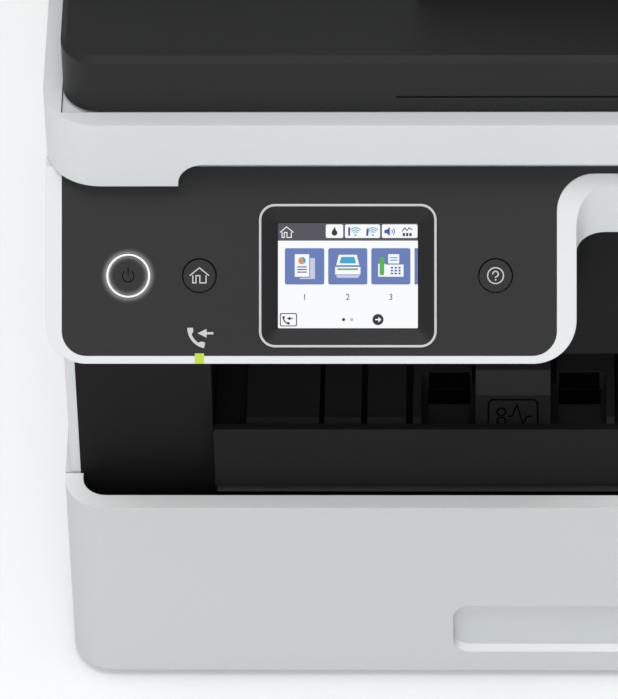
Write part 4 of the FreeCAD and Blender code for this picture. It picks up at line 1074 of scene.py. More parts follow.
def pill(tree: Tree, width: Socket, height: Socket, radius: Socket, steps: object) -> Socket:
    """Make a rectangle curve with round corners.

    Args:
        tree: The node adder.
        width: Its width.
        height: Its height.
        radius: Radius of its corners.
        steps: Lines in each corner.

    Returns:
        The curve.
    """
    flat = tree.add("GeometryNodeCurvePrimitiveQuadrilateral", {"mode": "RECTANGLE"}, Width=width,
                    Height=height)
    return tree.add("GeometryNodeFilletCurve", {"mode": "POLY"}, Curve=flat.outputs[0], Radius=radius,
                    Count=steps).outputs[0]


@cache
def row_rule() -> bpy.types.NodeTree:
    """Rows of rounded bars, for ribs, slats, ticks, teeth and slots.

    Returns:
        The tree, built once.
    """
    tree, start, end = new_rule("pill_row", ("Pitch X", "Pitch Y", "Long", "Wide", "High", "Corner"),
                                {"Count X": 1, "Count Y": 1, "Steps": 3})
    given = start.outputs
    outline = pill(tree, given["Long"], given["Wide"], given["Corner"], given["Steps"])
    fill = tree.add("GeometryNodeFillCurve", Curve=outline).outputs[0]
    raised = tree.add("GeometryNodeExtrudeMesh", Mesh=fill, Offset_Scale=given["High"], Individual=False)
    floor = tree.add("GeometryNodeFlipFaces", Mesh=fill)
    whole = tree.add("GeometryNodeJoinGeometry")
    for part in (floor, raised):
        tree.feed(whole.inputs[0], part.outputs[0])
    shape = tree.add("GeometryNodeMergeByDistance", Geometry=whole.outputs[0], Distance=WELD)
    for axis in "XY":
        step = tree.add("ShaderNodeCombineXYZ", **{axis: given[f"Pitch {axis}"]})
        line = tree.add("GeometryNodeMeshLine", {"mode": "OFFSET"}, Count=given[f"Count {axis}"],
                        Offset=step.outputs[0])
        shape = tree.add("GeometryNodeInstanceOnPoints", Points=line.outputs[0], Instance=shape.outputs[0])
    return end_rule(tree, start, end, shape.outputs[0])


@cache
def rail_rule() -> bpy.types.NodeTree:
    """A bead that follows a rounded rectangle.

    Returns:
        The tree, built once.
    """
    tree, start, end = new_rule("rounded_rail", ("Long", "Wide", "Corner", "Line", "High"), {"Steps": 10})
    given = start.outputs
    profile = pill(tree, given["Line"], given["High"], tree.math("MULTIPLY", given["High"], 0.3), 3)
    outline = pill(tree, given["Long"], given["Wide"], given["Corner"], given["Steps"])
    bead = tree.add("GeometryNodeCurveToMesh", Curve=outline, Profile_Curve=profile)
    return end_rule(tree, start, end, bead.outputs[0])


@cache
def screw_rule() -> bpy.types.NodeTree:
    """Pan-head screws with a hexagonal recess on every point of a mesh.

    Returns:
        The tree, built once.
    """
    tree, start, end = new_rule("screw_heads", ("Radius", "High"), {})
    radius, high = start.outputs["Radius"], start.outputs["High"]
    head = tree.add("GeometryNodeMeshCone", Vertices=20, Depth=high, Radius_Bottom=radius,
                    Radius_Top=tree.math("MULTIPLY", radius, 0.72))
    socket = tree.add("GeometryNodeMeshCylinder", Vertices=6, Depth=high,
                      Radius=tree.math("MULTIPLY", radius, 0.4))
    lift = tree.add("ShaderNodeCombineXYZ", Z=high)
    deep = tree.add("GeometryNodeTransform", Geometry=socket.outputs[0], Translation=lift.outputs[0])
    cut = tree.add("GeometryNodeMeshBoolean", {"operation": "DIFFERENCE"})
    for index, part in enumerate((head, deep)):
        tree.feed(cut.inputs[index], part.outputs[0])
    screws = tree.add("GeometryNodeInstanceOnPoints", Points=start.outputs["Geometry"],
                      Instance=cut.outputs[0])
    return end_rule(tree, start, end, screws.outputs[0])


def rule_mesh(name: str, tree: bpy.types.NodeTree, plane: Plane, spot: Spot,
              points: Sequence[Spot] = ((0.0, 0.0, 0.0),), **inputs: object) -> Mesh:
    """Return the plain mesh that a geometry tree makes.

    Args:
        name: The mesh's name.
        tree: The geometry tree.
        plane: The face that it stands on.
        spot: Where its origin lies on the face, and how high above.
        points: Places on the face that the tree may use.
        inputs: The tree's inputs, with underscores for spaces; numbers with a point are millimetres.

    Returns:
        The mesh, in place, with its material.
    """
    seed = bpy.data.meshes.new(f"{name}_points")
    seed.from_pydata([tuple(value * MM for value in point) for point in points], [], [])
    source = linked(f"{name}_rule", seed)
    modifier = source.modifiers.new(tree.name, "NODES")
    modifier.node_group = tree
    sockets = {item.name: item.identifier for item in tree.interface.items_tree
               if getattr(item, "in_out", "") == "INPUT"}
    for label, value in inputs.items():
        modifier[sockets[label.replace("_", " ")]] = value * MM if isinstance(value, float) else value
    mesh = plain_mesh(source, name)
    mesh.transform(plane.rigid() @ Matrix.Translation(Vector(spot) * MM))
    return mesh


@dataclass(frozen=True)
class Row:
    """A row or grid of equal rounded bars on a flat face.

    The spot is the middle of the first bar. The size is along the face's right and up directions and
    outwards from it.
    """

    name: str
    finish: str
    face: Plane
    spot: Point
    size: Spot
    count: tuple[int, int] = (1, 1)
    pitch: Point = (1.0, 1.0)
    corner: float = 0.2
    sink: float = 0.1
    body: Body = Body.PRINTER

    def build(self) -> None:
        """Make the bars as one piece on their body."""
        long, wide, high = self.size
        mesh = rule_mesh(self.name, row_rule(), self.face, (*self.spot, -self.sink), Count_X=self.count[0],
                         Count_Y=self.count[1], Pitch_X=self.pitch[0], Pitch_Y=self.pitch[1], Long=long,
                         Wide=wide, High=high + self.sink, Corner=self.corner, Material=finish(self.finish))
        add_piece(self.name, mesh, self.body)


class Assembly:
    """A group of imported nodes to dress, with rows of bars and other details to add."""

    finishes: ClassVar[dict[str, tuple[str, ...]]] = {}
    rows: ClassVar[tuple[Row, ...]] = ()

    def build(self) -> None:
        """Dress the nodes and add the details."""
        for name, nodes in self.finishes.items():
            for node in nodes:
                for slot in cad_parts[node].material_slots:
                    slot.material = finish(name)
                log.info("node %s: %s", node, name)
        self.add_details()
        for row in self.rows:
            row.build()

    def add_details(self) -> None:
        """Add what is not a row of bars."""


@dataclass
class ControlPanel(Assembly):
    """The sloping panel: black sheet, keys with their signs, light ring, and the framed screen."""

    screen: Point = (-82.4, 30.6)
    frame_size: Point = (61.8, 49.9)
    frame_radius: float = 5.6
    frame_deep: float = 3.4
    frame_proud: float = 0.5
    trim_line: float = 0.87
    trim_high: float = 0.4
    window_size: Point = (48.6, 36.5)
    window_radius: float = 0.4
    glass_set: float = 0.9
    home_x: float = -134.0
    help_x: float = -31.1
    key_proud: float = 0.25
    outline_radius: float = 5.95
    outline_line: float = 0.3
    sign_line: float = 0.4
    power_line: float = 0.36
    message_spot: Point = (-133.7, 9.1)

    finishes: ClassVar[dict[str, tuple[str, ...]]] = {
        "panel_face": ("panel_overlay",), "power_key": ("power_button",), "light_ring": ("power_ring",),
        "lamp": ("message_lamp",), "screen": ("lcd_screen",), "key": ("home_button", "help_button")}

    def screen_loop(self, size: Point, grow: float, height: float, radius: float) -> list[Spot]:
        """Return a rounded rectangle round the screen's middle, larger by grow on each side, at a height."""
        (x, y), wide, tall = self.screen, size[0] / 2 + grow, size[1] / 2 + grow
        return [(px, py, height) for px, py in rounded(x - wide, y - tall, x + wide, y + tall, radius, 10)]

    def build_frame(self) -> None:
        """Make the bezel, whose face slopes down to the screen, and its bright outer line."""
        radius, top, trim, glass = self.frame_radius, self.frame_proud, self.trim_line, -self.glass_set
        outside = ((0.0, -self.frame_deep), (0.0, top - 0.1), (0.1, top), (trim, top),
                   (trim + 0.7, top - 0.12))
        inside = ((0.35, glass + 0.15), (0.0, glass + 0.02), (0.0, -self.frame_deep))
        loops = [self.screen_loop(self.frame_size, -inset, height, radius - inset)
                 for inset, height in outside]
        loops += [self.screen_loop(self.window_size, grow, height, self.window_radius + grow)
                  for grow, height in inside]
        bezel = add_piece("screen_bezel", lofted("screen_bezel", loops, PANEL), Body.PRINTER, "screen_frame")
        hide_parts("lcd_frame")
        line = rule_mesh("screen_trim", rail_rule(), PANEL, (*self.screen, top),
                         Long=self.frame_size[0] - trim, Wide=self.frame_size[1] - trim,
                         Corner=radius - trim / 2, Line=trim, High=self.trim_high,
                         Material=finish("silver_line"))
        add_piece("screen_trim", line, Body.PRINTER)

    def build_signs(self) -> None:
        """Put the common signs on the keys and the handset sign above the message lamp."""
        power = [stroke(line, self.power_line)
                 for line in (arc(0.0, -0.15, 2.0, 125.0, 415.0, 28), [(0.0, 0.1), (0.0, 2.75)])]
        hook = arc(0.0, 0.55, 0.95, 190.0, -50.0, 16) + [(0.0, -0.55), (0.0, -0.8)]
        query = [*ring(0.0, 0.0, 2.75, 0.42), stroke(hook, 0.45), circle(0.0, -1.45, 0.3, 16)]
        for name, loops, x, finish_name, body in (
                ("power_sign", power, POWER_X, "engraved", Body.POWER_KEY),
                ("home_sign", house(self.sign_line), self.home_x, "icon", Body.HOME_KEY),
                ("help_sign", query, self.help_x, "icon", Body.HELP_KEY)):
            inlay(name, moved(loops, x, KEY_RISE), PANEL, finish_name, body, self.key_proud + LAYER / 2)
        outlines = [loop for x in (self.home_x, self.help_x)
                    for loop in ring(x, KEY_RISE, self.outline_radius, self.outline_line)]
        inlay("key_outlines", outlines, PANEL, "engraved")
        inlay("message_sign", moved(handset(), *self.message_spot), PANEL, "icon")

    def add_details(self) -> None:
        """Make the frame, the signs and the picture."""
        self.build_frame()
        self.build_signs()
        ScreenPicture(self).build()


@dataclass
class ScreenPicture:
    """The picture on the screen: a status bar, a row of tiles and a foot row.

    Places are shares of the picture's width and height from its upper left corner.
    """

    panel: ControlPanel
    bar: float = 0.167
    bar_middle: float = 0.08
    foot: float = 0.918
    numbers: float = 0.706
    number_tall: float = 3.0
    tile_tops: Point = (0.238, 0.584)
    tiles: tuple[Point, ...] = ((0.049, 0.331), (0.359, 0.639), (0.667, 0.947))
    badges: tuple[Point, ...] = ((0.342, 0.466), (0.479, 0.730), (0.743, 0.997))

    def spot(self, across: float, down: float) -> Point:
        """Return a place on the panel."""
        (x, y), (wide, tall) = self.panel.screen, self.panel.window_size
        return x + (across - 0.5) * wide, y + (0.5 - down) * tall

    def block(self, left: float, top: float, right: float, low: float, radius: float = 0.0) -> Loop:
        """Return a rectangle of the picture, with round corners in millimetres."""
        (x0, y1), (x1, y0) = self.spot(left, top), self.spot(right, low)
        return rounded(x0, y0, x1, y1, radius, 5) if radius else oblong(x0, y0, x1, y1)

    def show(self, name: str, finish_name: str, layer: int, loops: Sequence[Loop], spot: Point = (0.0, 0.0),
             size: float = 1.0) -> None:
        """Add one colour of the picture on its layer, drawn about a spot of the panel."""
        inlay(f"picture_{name}", moved(loops, *spot, size), PANEL, finish_name,
              lift=LAYER * (layer + 0.5) - self.panel.glass_set)

    def build_ground(self) -> None:
        """Make the bar, the tiles and the foot row."""
        top, low = self.tile_tops
        tiles = [self.block(left, top, right, low, 0.7) for left, right in self.tiles]
        self.show("bar", "screen_bar", 0, [self.block(0.0, 0.0, 1.0, self.bar)])
        self.show("tiles", "screen_tile", 0, [*tiles, self.block(0.976, top, 1.0, low)])
        badges = [self.block(left, 0.012, right, 0.141, 0.55) for left, right in self.badges]
        self.show("badges", "screen", 1, badges)
        key = [self.block(0.013, 0.856, 0.136, 0.983, 0.6), self.block(0.020, 0.865, 0.129, 0.974, 0.45)]
        follow = self.spot(0.715, self.foot)
        here, there = (circle(*self.spot(across, self.foot), 0.55, 16) for across in (0.469, 0.527))
        button = circle(*follow, 0.040 * self.panel.window_size[0], 28)
        self.show("foot", "screen_ink", 0, [*key, button, here])
        self.show("foot_dot", "screen_dot", 0, [there])
        arrow = [(-0.95, -0.21), (0.15, -0.21), (0.15, -0.95), (1.15, 0.0), (0.15, 0.95), (0.15, 0.21),
                 (-0.95, 0.21)]
        self.show("next", "screen", 1, [arrow], follow)
        self.show("foot_handset", "screen_ink", 1, handset(), self.spot(0.070, 0.925), 0.42)

    def build_bar(self) -> None:
        """Make the small signs of the status bar."""
        self.show("house", "screen", 1, house(0.42), self.spot(0.062, 0.088), 0.7)
        self.show("drop", "screen_ink", 2, [drop(1.7, (0.55, 0.5), -0.45, 1.0, 18)],
                  self.spot(0.404, self.bar_middle))
        waves = [stroke(arc(0.5, -1.2, reach, 45.0, 135.0, 10), 0.34) for reach in (1.1, 1.8, 2.5)]
        waves.append(circle(0.5, -1.2, 0.35, 12))
        stands = (oblong(-2.1, -1.5, -1.4, 1.5), [(-1.9, -1.5), (-1.1, -1.5), (-0.86, 1.1), (-1.66, 1.1)])
        for number, (across, stand) in enumerate(zip((0.545, 0.668), stands), start=1):
            self.show(f"waves_{number}", "screen_cyan", 2, waves, self.spot(across, self.bar_middle))
            self.show(f"stand_{number}", "screen_blue", 2, [stand], self.spot(across, self.bar_middle))
        speaker = [[(-1.9, -0.6), (-1.1, -0.6), (0.0, -1.6), (0.0, 1.6), (-1.1, 0.6), (-1.9, 0.6)],
                   *(stroke(arc(0.0, 0.0, reach, -45.0, 45.0, 8), 0.3) for reach in (0.9, 1.6))]
        self.show("speaker", "screen_blue", 2, speaker, self.spot(0.80, self.bar_middle))
        quiet = [stroke([(-1.9, 0.0), (-0.9, 1.3), (-0.2, 0.3), (0.6, 1.3), (1.7, 0.5)], 0.32),
                 *(oblong(x, -1.6, x + 0.8, -0.5) for x in (-1.6, -0.45, 0.7))]
        self.show("quiet", "screen_ink", 2, quiet, self.spot(0.925, self.bar_middle))

    def build_tiles(self) -> None:
        """Make a plain sign on each tile and its number below."""
        middles = [(left + right) / 2 for left, right in self.tiles]
        first, second, third = (self.spot(middle, sum(self.tile_tops) / 2) for middle in middles)
        glass = [(-2.9, 1.0), (2.9, 1.0), (2.3, 3.3), (-2.3, 3.3)]
        lid = [(-4.0, 0.4), (4.0, 0.4), (3.1, 4.0), (-3.1, 4.0)]
        case = [(-4.4, -3.6), (4.4, -3.6), (4.4, 0.6), (-1.9, 0.6), (-1.9, 0.9), (-4.4, 0.9)]
        for spot, name, finish_name, layer, loops in (
                (first, "sheets", "screen", 1, [oblong(-3.4, -3.6, 1.6, 4.2)]),
                (first, "sheet_rear", "screen_shade", 1,
                 [oblong(1.9, -4.4, 3.6, 2.9), oblong(-1.6, -4.4, 1.9, -3.9)]),
                (first, "pie", "screen_orange", 2, [arc(-0.9, 2.0, 1.3, 90.0, 300.0, 16) + [(-0.9, 2.0)]]),
                (first, "pie_rest", "screen_cyan", 2, [arc(-0.9, 2.0, 1.3, -55.0, 85.0, 12) + [(-0.9, 2.0)]]),
                (first, "sheet_lines", "screen_blue", 2,
                 [oblong(-2.6, y, 0.8, y + 0.4) for y in (-0.4, -1.3, -2.2)]),
                (second, "flatbed", "screen", 1, [lid, glass, oblong(-4.4, -2.8, 4.4, -0.2)]),
                (second, "flatbed_glass", "screen_cyan", 1, [glass]),
                (second, "flatbed_light", "screen_green", 2, [oblong(-3.6, -1.3, 3.6, -0.7)]),
                (second, "flatbed_foot", "screen_shade", 1,
                 [[(-3.6, -4.0), (3.6, -4.0), (4.2, -3.0), (-4.2, -3.0)]]),
                (third, "desk_phone", "screen", 1, [case, oblong(-0.9, 1.0, 2.9, 4.2)]),
                (third, "desk_keys", "screen_blue", 2,
                 [oblong(x, y, x + 0.8, y + 0.6) for x in (0.0, 1.3, 2.6) for y in (-2.8, -1.8, -0.8)]),
                (third, "desk_receiver", "screen_green", 2, [rounded(-3.9, -3.1, -2.3, 3.3, 0.7, 4)]),
                (third, "desk_sheet", "screen_cyan", 2, [oblong(-0.3, y, 2.3, y + 0.4) for y in (1.9, 2.8)])):
            self.show(name, finish_name, layer, loops, spot)
        for number, middle in enumerate(middles, start=1):
            numeral(f"picture_number_{number}", str(number), self.number_tall,
                    self.spot(middle, self.numbers), LAYER - self.panel.glass_set)

    def build(self) -> None:
        """Make the whole picture."""
        self.build_ground()
        self.build_bar()
        self.build_tiles()


@dataclass
class Casing(Assembly):
    """Light and black outer mouldings, with the screws and slots of the rear."""

    screw_radius: float = 3.2
    screw_high: float = 1.1
    screw_lift: float = 0.5
    sign_spot: Point = (30.0, 2.0)
    screw_spots: tuple[Point, ...] = ((-178.0, 236.0), (178.0, 236.0), (-178.0, 128.0), (178.0, 150.0),
                                      (0.0, 236.0), (112.0, 236.0), (-112.0, 236.0))

    finishes: ClassVar[dict[str, tuple[str, ...]]] = {
        "light_casing": ("base", "housing", "front_fascia", "scanner_case", "scanner_top_frame",
                         "feeder_body", "feeder_cover"),
        "black_casing": ("document_cover", "tank_cover", "feeder_tray", "feeder_guide_front",
                         "feeder_guide_rear", "rear_cover"),
        "drawer_casing_painted_light": ("cassette_front",), "rubber": ("rubber_feet",)}
    rows: ClassVar[tuple[Row, ...]] = (
        Row("cooling_slots", "black_inner", REAR_WALL, (-166.0, 164.0), (2.2, 20.0, 0.02), (9, 2),
            (6.0, 26.0), 1.0),
        Row("left_slots", "black_inner", Side.LEFT.at(-185.5), (-140.0, 118.0), (2.2, 24.0, 0.02), (12, 1),
            (6.0, 1.0), 1.0),
        Row("right_slots", "black_inner", Side.RIGHT.at(185.5), (74.0, 118.0), (2.2, 24.0, 0.02), (12, 1),
            (6.0, 1.0), 1.0),
        Row("rear_ledge", "light_casing", Side.TOP.at(87.6), (0.0, 165.6), (363.8, 11.0, 1.7), corner=0.5,
            sink=0.0),
        *(Row(f"rear_ribs_{side}", "black_casing", Side.REAR.at(173.0), (x, 132.0), (11.0, 1.3, 0.45), (1, 8),
              (1.0, 3.2), 0.6, 0.3, Body.REAR) for side, x in (("left", 34.0), ("right", -74.0))),
        Row("rating_plate", "silver_line", REAR_WALL, (125.0, 190.0), (62.0, 30.0, 0.05),
            corner=1.5),
        Row("rating_lines", "icon_dark", RATING_FACE, (112.0, 182.0), (28.0, 0.8, 0.03), (1, 5),
            (1.0, 4.0), 0.1),
        Row("rating_bars", "engraved", RATING_FACE, (133.0, 190.0), (0.7, 14.0, 0.03), (13, 1),
            (1.5, 1.0), 0.1),
        Row("feeder_grip", "light_casing", Side.RIGHT.at(-58.0), (10.0, 335.6), (64.0, 0.9, 0.5), (1, 3),
            (1.0, 2.4), 0.4, body=Body.FEEDER_LID),
        Row("feeder_tray_ribs", "black_casing", FEEDER_SLOPE, (150.0, -84.0), (58.0, 1.4, 0.5), (1, 9),
            (1.0, 24.0), 0.6, body=Body.LID),
        Row("feeder_tray_ticks", "icon", FEEDER_SLOPE, (46.0, -73.0), (5.0, 0.6, 0.05), (1, 8), (1.0, 24.0),
            0.1, body=Body.LID),
    )

    def add_details(self) -> None:
        """Make the rear wall's screws, and print the common sheet sign on the feeder's tray."""
        screws = rule_mesh("rear_screws", screw_rule(), REAR_WALL, (0.0, 0.0, self.screw_lift),
                           [(-x, z, 0.0) for x, z in self.screw_spots], Radius=self.screw_radius,
                           High=self.screw_high, Material=finish("steel"))
        add_piece("rear_screws", screws, Body.PRINTER)
        sheet = [oblong(-6.0, -8.0, 6.0, 8.0), oblong(-5.4, -7.4, 5.4, 7.4)]
        lines = [oblong(x, -5.0, x + 0.7, 5.0) for x in (-3.6, -1.4, 0.8, 3.0)]
        inlay("feeder_sign", moved([*sheet, *lines], *self.sign_spot), FEEDER_SLOPE, "icon", Body.LID)


@dataclass
class PaperOutput(Assembly):
    """The black recess: slide tray, stop, exit guides and the paper-jam sign."""

    slope: Point = (14.0, 3.4)
    slope_foot: float = 103.75

    finishes: ClassVar[dict[str, tuple[str, ...]]] = {
        "black_inner": ("paper_stop", "output_extension", "output_tray", "inner_front", "tank_frame",
                        "cassette_tray", "cassette_guide_left", "cassette_guide_right",
                        "cassette_length_guide"),
        "guide_black": ("exit_guide",), "jam_guide": ("jam_guide",)}
    rows: ClassVar[tuple[Row, ...]] = (
        Row("stop_foot", "guide_black", Side.FRONT.at(-128.0), (-20.0, 90.4), (225.0, 1.4, 1.5), corner=0.5,
            sink=0.4, body=Body.STOP),
        # Painted shadow and light in the exit guide's two pockets: near-black sheets on their back walls and
        # deep ends stand for the shade inside, and lighter sheets on their floors for the light that falls on
        # them.
        *(Row(f"pocket_{part}", name, face, (-49.3, place), (15.2, tall, 0.05), (2, 1), (47.4, 1.0), 0.3)
          for part, name, face, place, tall in (
              ("painted_shadow_backs", "engraved", Side.FRONT.at(-86.0), 102.6, 8.6),
              ("painted_shadow_depths", "engraved", GUIDE_FLOOR, -89.9, 7.6),
              ("painted_light_floors", "jam_guide", GUIDE_FLOOR, -104.8, 22.0))),
        Row("tray_ribs", "black_inner", Side.TOP.at(96.75), (-120.0, -62.0), (1.4, 96.0, 0.2), (11, 1),
            (20.0, 1.0), 0.6, body=Body.TRAY),
        Row("cassette_ribs", "black_inner", CASSETTE_FLOOR, (-90.0, 20.0), (1.4, 170.0, 0.2), (10, 1),
            (20.0, 1.0), 0.6, body=Body.CASSETTE),
        Row("cassette_ticks", "icon", CASSETTE_FLOOR, (-96.0, -60.0), (5.0, 0.7, 0.1), (1, 7), (1.0, 10.0),
            body=Body.CASSETTE),
    )

    def add_details(self) -> None:
        """Engrave the common paper-jam sign in its rounded frame on the jam guide's slope."""
        low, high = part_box("jam_guide")
        run, climb = self.slope
        face = Plane(((low.x + high.x) / 2 / MM, low.y / MM, self.slope_foot), up=(0.0, run, climb))
        border = [rounded(-9.15, 0.5, 9.15, 12.8, 2.0, 6), rounded(-8.55, 1.1, 8.55, 12.2, 1.5, 6)]
        rolls = [loop for rise in (3.6, 7.4) for loop in ring(-4.2, rise, 1.55, 0.6, 28)]
        sheet = stroke([(-1.8, 5.5), (-0.4, 5.5), (1.4, 10.4), (3.7, 2.0), (4.9, 5.5), (6.8, 5.5)], 0.6)
        inlay("jam_sign", [*border, *rolls, sheet], face, "engraved", lift=0.03, thick=0.06)


@dataclass
class Internals(Assembly):
    """Scanner, print engine, ink supply and electrics, seen when the printer is opened."""

    drop_rise: float = 184.0
    lip_middle: Spot = (135.0, 26.0, 0.0)

    finishes: ClassVar[dict[str, tuple[str, ...]]] = {
        "steel": ("scanner_hinges", "cover_hinges", "scan_rod", "carriage_shaft", "chassis",
                  "carriage_motor"),
        "glass": ("scanner_glass",), "white_pad": ("backing_pad",),
        "black_inner": ("scan_carriage", "print_carriage", "platen", "capping_station", "drive_pulley",
                        "idler_pulley"),
        "roller_rubber": ("pick_roller", "feed_roller", "eject_roller"), "window": ("tank_window",),
        "belt": ("carriage_belt",), "supply": ("power_supply",), "board": ("main_board",),
        "tank": ("ink_tanks", "tank_cap_1", "tank_cap_2", "tank_cap_3", "tank_cap_4")}
    rows: ClassVar[tuple[Row, ...]] = (
        Row("scan_ticks_left", "icon_dark", SCANNER_TOP, (-166.0, -100.0), (4.0, 0.5, 0.08), (1, 22),
            (1.0, 10.0), 0.1, body=Body.SCANNER),
        Row("scan_ticks_rear", "icon_dark", SCANNER_TOP, (-160.0, 122.0), (0.5, 4.0, 0.08), (30, 1),
            (10.0, 1.0), 0.1, body=Body.SCANNER),
        Row("scan_light", "white_pad", SCAN_BAR_TOP, (-153.0, 8.0), (3.2, 216.0, 0.5), corner=1.4,
            body=Body.SCAN_BAR),
        Row("scan_lens", "chip", SCAN_BAR_TOP, (-160.0, 8.0), (2.4, 216.0, 0.3), corner=0.4,
            body=Body.SCAN_BAR),
        Row("platen_ribs", "black_inner", Side.TOP.at(114.0), (-122.0, 30.0), (1.2, 46.0, 1.4), (19, 1),
            (12.0, 1.0), 0.5),
        *(Row(f"belt_teeth_{side}", "belt", face, (-144.0, 176.0), (1.4, 4.6, 0.7), (97, 1), (3.0, 1.0), 0.3)
          for side, face in (("front", Side.REAR.at(93.0)), ("rear", Side.FRONT.at(103.0)))),
        Row("carriage_ribs", "black_inner", Side.TOP.at(188.0), (113.0, 30.0), (1.4, 56.0, 0.8), (5, 1),
            (11.0, 1.0), 0.6, body=Body.CARRIAGE),
        Row("board_chips", "chip", BOARD_FACE, (-152.0, 138.0), (15.0, 15.0, 2.2), (3, 1),
            (28.0, 1.0), 0.5),
        Row("board_parts", "chip", BOARD_FACE, (-164.0, 114.0), (2.6, 1.5, 1.1), (14, 2),
            (7.0, 7.0)),
        Row("board_contacts", "gold", BOARD_FACE, (-158.4, 128.6), (0.5, 2.2, 0.3), (12, 1),
            (1.2, 1.0), 0.1),
        Row("socket_tongues", "chip", Side.REAR.at(159.0), (87.0, 109.0), (9.0, 2.4, 3.0), (4, 1),
            (20.67, 1.0), 0.3),
        Row("inlet_prongs", "steel", Side.REAR.at(151.5), (-150.5, 110.0), (2.4, 4.4, 9.0), (2, 1),
            (9.0, 1.0), 1.1),
        Row("level_ticks", "icon_dark", TANK_FACE, (104.0, 112.0), (4.0, 0.6, 0.1), (4, 8),
            (TANK_PITCH, 7.0)),
        Row("level_limits", "icon_dark", TANK_FACE, (TANK_LEFT + TANK_PITCH / 2, 105.0),
            (12.0, 1.0, 0.1), (4, 2), (TANK_PITCH, 63.0), 0.3),
    )

    def build_inks(self) -> None:
        """Mark each cap, and the cover above the window, with its ink's colour and the common drop."""
        sign = drop(4.6, (1.5, 1.4), -1.2, 2.7, 20)
        bodies = (Body.CAP_1, Body.CAP_2, Body.CAP_3, Body.CAP_4)
        for number, (ink, body) in enumerate(zip(Ink, bodies), start=1):
            across = TANK_LEFT + (number - 0.5) * TANK_PITCH
            Row(f"cap_mark_{number}", ink.finish_name, Side.TOP.at(201.0), (across, -100.0), (9.0, 9.0, 0.4),
                corner=4.4, body=body).build()
            inlay(f"drop_sign_{number}", moved([sign], across, self.drop_rise), Side.FRONT.at(-128.8),
                  "icon_dark" if ink is Ink.BLACK else ink.finish_name, Body.TANK_DOOR)

    def add_details(self) -> None:
        """Mark the inks and the glass's corner, and lay the rubber lip on the capping station."""
        self.build_inks()
        inlay("scan_corner", [[(-163.5, 119.5), (-166.0, 128.0), (-172.0, 122.0)]], SCANNER_TOP,
              "icon_dark", Body.SCANNER)
        lip = rule_mesh("cap_lip", rail_rule(), Side.TOP.at(117.4), self.lip_middle, Long=51.0, Wide=45.0,
                        Corner=3.0, Line=1.6, High=0.6, Material=finish("roller_rubber"))
        add_piece("cap_lip", lip, Body.PRINTER)


@dataclass(frozen=True)
class Floor(Finish):
    """Pale paper that shows the printer's shadow, and looks a little lighter than it is."""

    lift: float = 0.15
    uneven: ClassVar[float] = 0.985
    clouds: ClassVar[float] = 3.0
    roughness: ClassVar[float] = 0.9
    specular: ClassVar[float] = 0.1

    def dress(self, tree: Tree, shader: Node) -> None:
        """Wire the paper and its lift.

        Args:
            tree: The material's nodes.
            shader: Its Principled shader.
        """
        path = tree.add("ShaderNodeLightPath").outputs
        mirrored = tree.math("MAXIMUM", path["Is Glossy Ray"], path["Is Transmission Ray"])
        seen = tree.math("MAXIMUM", path["Is Camera Ray"], mirrored)
        paper = tree.mix(tree.noise(tree.place(), self.clouds), Shade.FLOOR.times(self.uneven),
                         Shade.FLOOR.linear)
        tree.wire(shader, Base_Color=paper, Roughness=self.roughness, Specular_IOR_Level=self.specular,
                  Emission_Color=WHITE, Emission_Strength=tree.math("MULTIPLY", seen, self.lift))


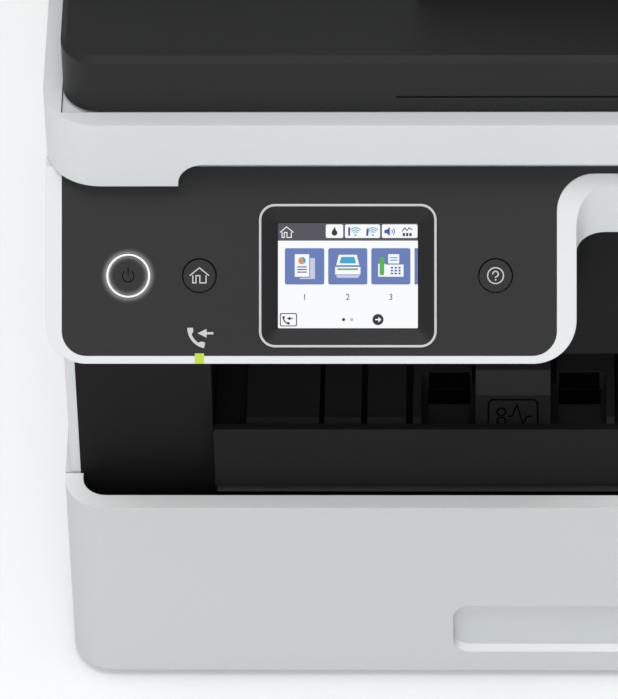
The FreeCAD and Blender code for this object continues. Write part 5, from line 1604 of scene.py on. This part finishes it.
@dataclass
class Studio:
    """Camera, soft light and pale floor, with the lamps and the floor in metres."""

    eye_away: float = 3000.0
    aim: Spot = (-95.9, -170.0, 202.5)
    tilt: float = 45.0
    lens: float = 445.0
    far: float = 60.0
    world_level: float = 0.6
    lamp_size: float = 1.6
    lamp_aim: Spot = (0.0, -0.1, 0.2)
    lamps: tuple[tuple[str, float, Spot], ...] = (("key", 34.0, (-0.3, -1.0, 3.2)),
                                                  ("fill", 21.0, (-0.3, -2.9, 1.9)))
    floor_reach: float = 30.0

    def build_camera(self) -> None:
        """Stand the camera square to the panel, midway across the printer, and aim it to the left."""
        tilt = math.radians(self.tilt)
        aim = Vector(self.aim) * MM
        back = Vector((0.0, -math.sin(tilt), math.cos(tilt)))
        eye = Vector((0.0, aim.y, aim.z)) + self.eye_away * MM * back
        ahead = (aim - eye).normalized()
        right = (Vector((1.0, 0.0, 0.0)) - ahead * ahead.x).normalized()
        up = right.cross(ahead)
        data = bpy.data.cameras.new("camera")
        data.lens, data.clip_end = self.lens, self.far
        camera = linked("camera", data)
        rows = [(right[i], up[i], -ahead[i], eye[i]) for i in range(3)]
        camera.matrix_world = Matrix((*rows, (0.0, 0.0, 0.0, 1.0)))
        bpy.context.scene.camera = camera

    def build_lamps(self) -> None:
        """Hang the square soft lights."""
        for name, watts, spot in self.lamps:
            data = bpy.data.lights.new(name, "AREA")
            data.size, data.energy = self.lamp_size, watts
            lamp = linked(name, data)
            lamp.location = spot
            lamp.rotation_mode = "QUATERNION"
            lamp.rotation_quaternion = (Vector(self.lamp_aim) - Vector(spot)).to_track_quat("-Z", "Y")

    def build_floor(self) -> None:
        """Lay a pale floor that shows the printer's shadow."""
        reach = self.floor_reach
        mesh = bpy.data.meshes.new("floor")
        mesh.from_pydata([(x, y, 0.0) for x, y in oblong(-reach, -reach, reach, reach)], [], [(0, 1, 2, 3)])
        mesh.materials.append(Floor("floor_paper").make())
        floor = linked("floor", mesh)

    def build_world(self) -> None:
        """Fill the room with even pale light."""
        world = bpy.data.worlds.new("studio")
        bpy.context.scene.world = world
        world.use_nodes = True
        Tree(world.node_tree).wire(world.node_tree.nodes["Background"], Color=WHITE,
                                   Strength=self.world_level)

    def build(self) -> None:
        """Set up the view and the light."""
        bpy.context.scene.view_settings.view_transform = "Standard"
        self.build_camera()
        self.build_world()
        self.build_lamps()
        self.build_floor()


def main() -> None:
    """Build every sub-assembly and the studio."""
    logging.basicConfig(level=logging.INFO, format="%(name)s %(message)s")
    Studio().build()
    for assembly in (Casing(), ControlPanel(), PaperOutput(), Internals()):
        log.info("building %s", type(assembly).__name__)
        assembly.build()


if __name__ == "__main__":
    main()
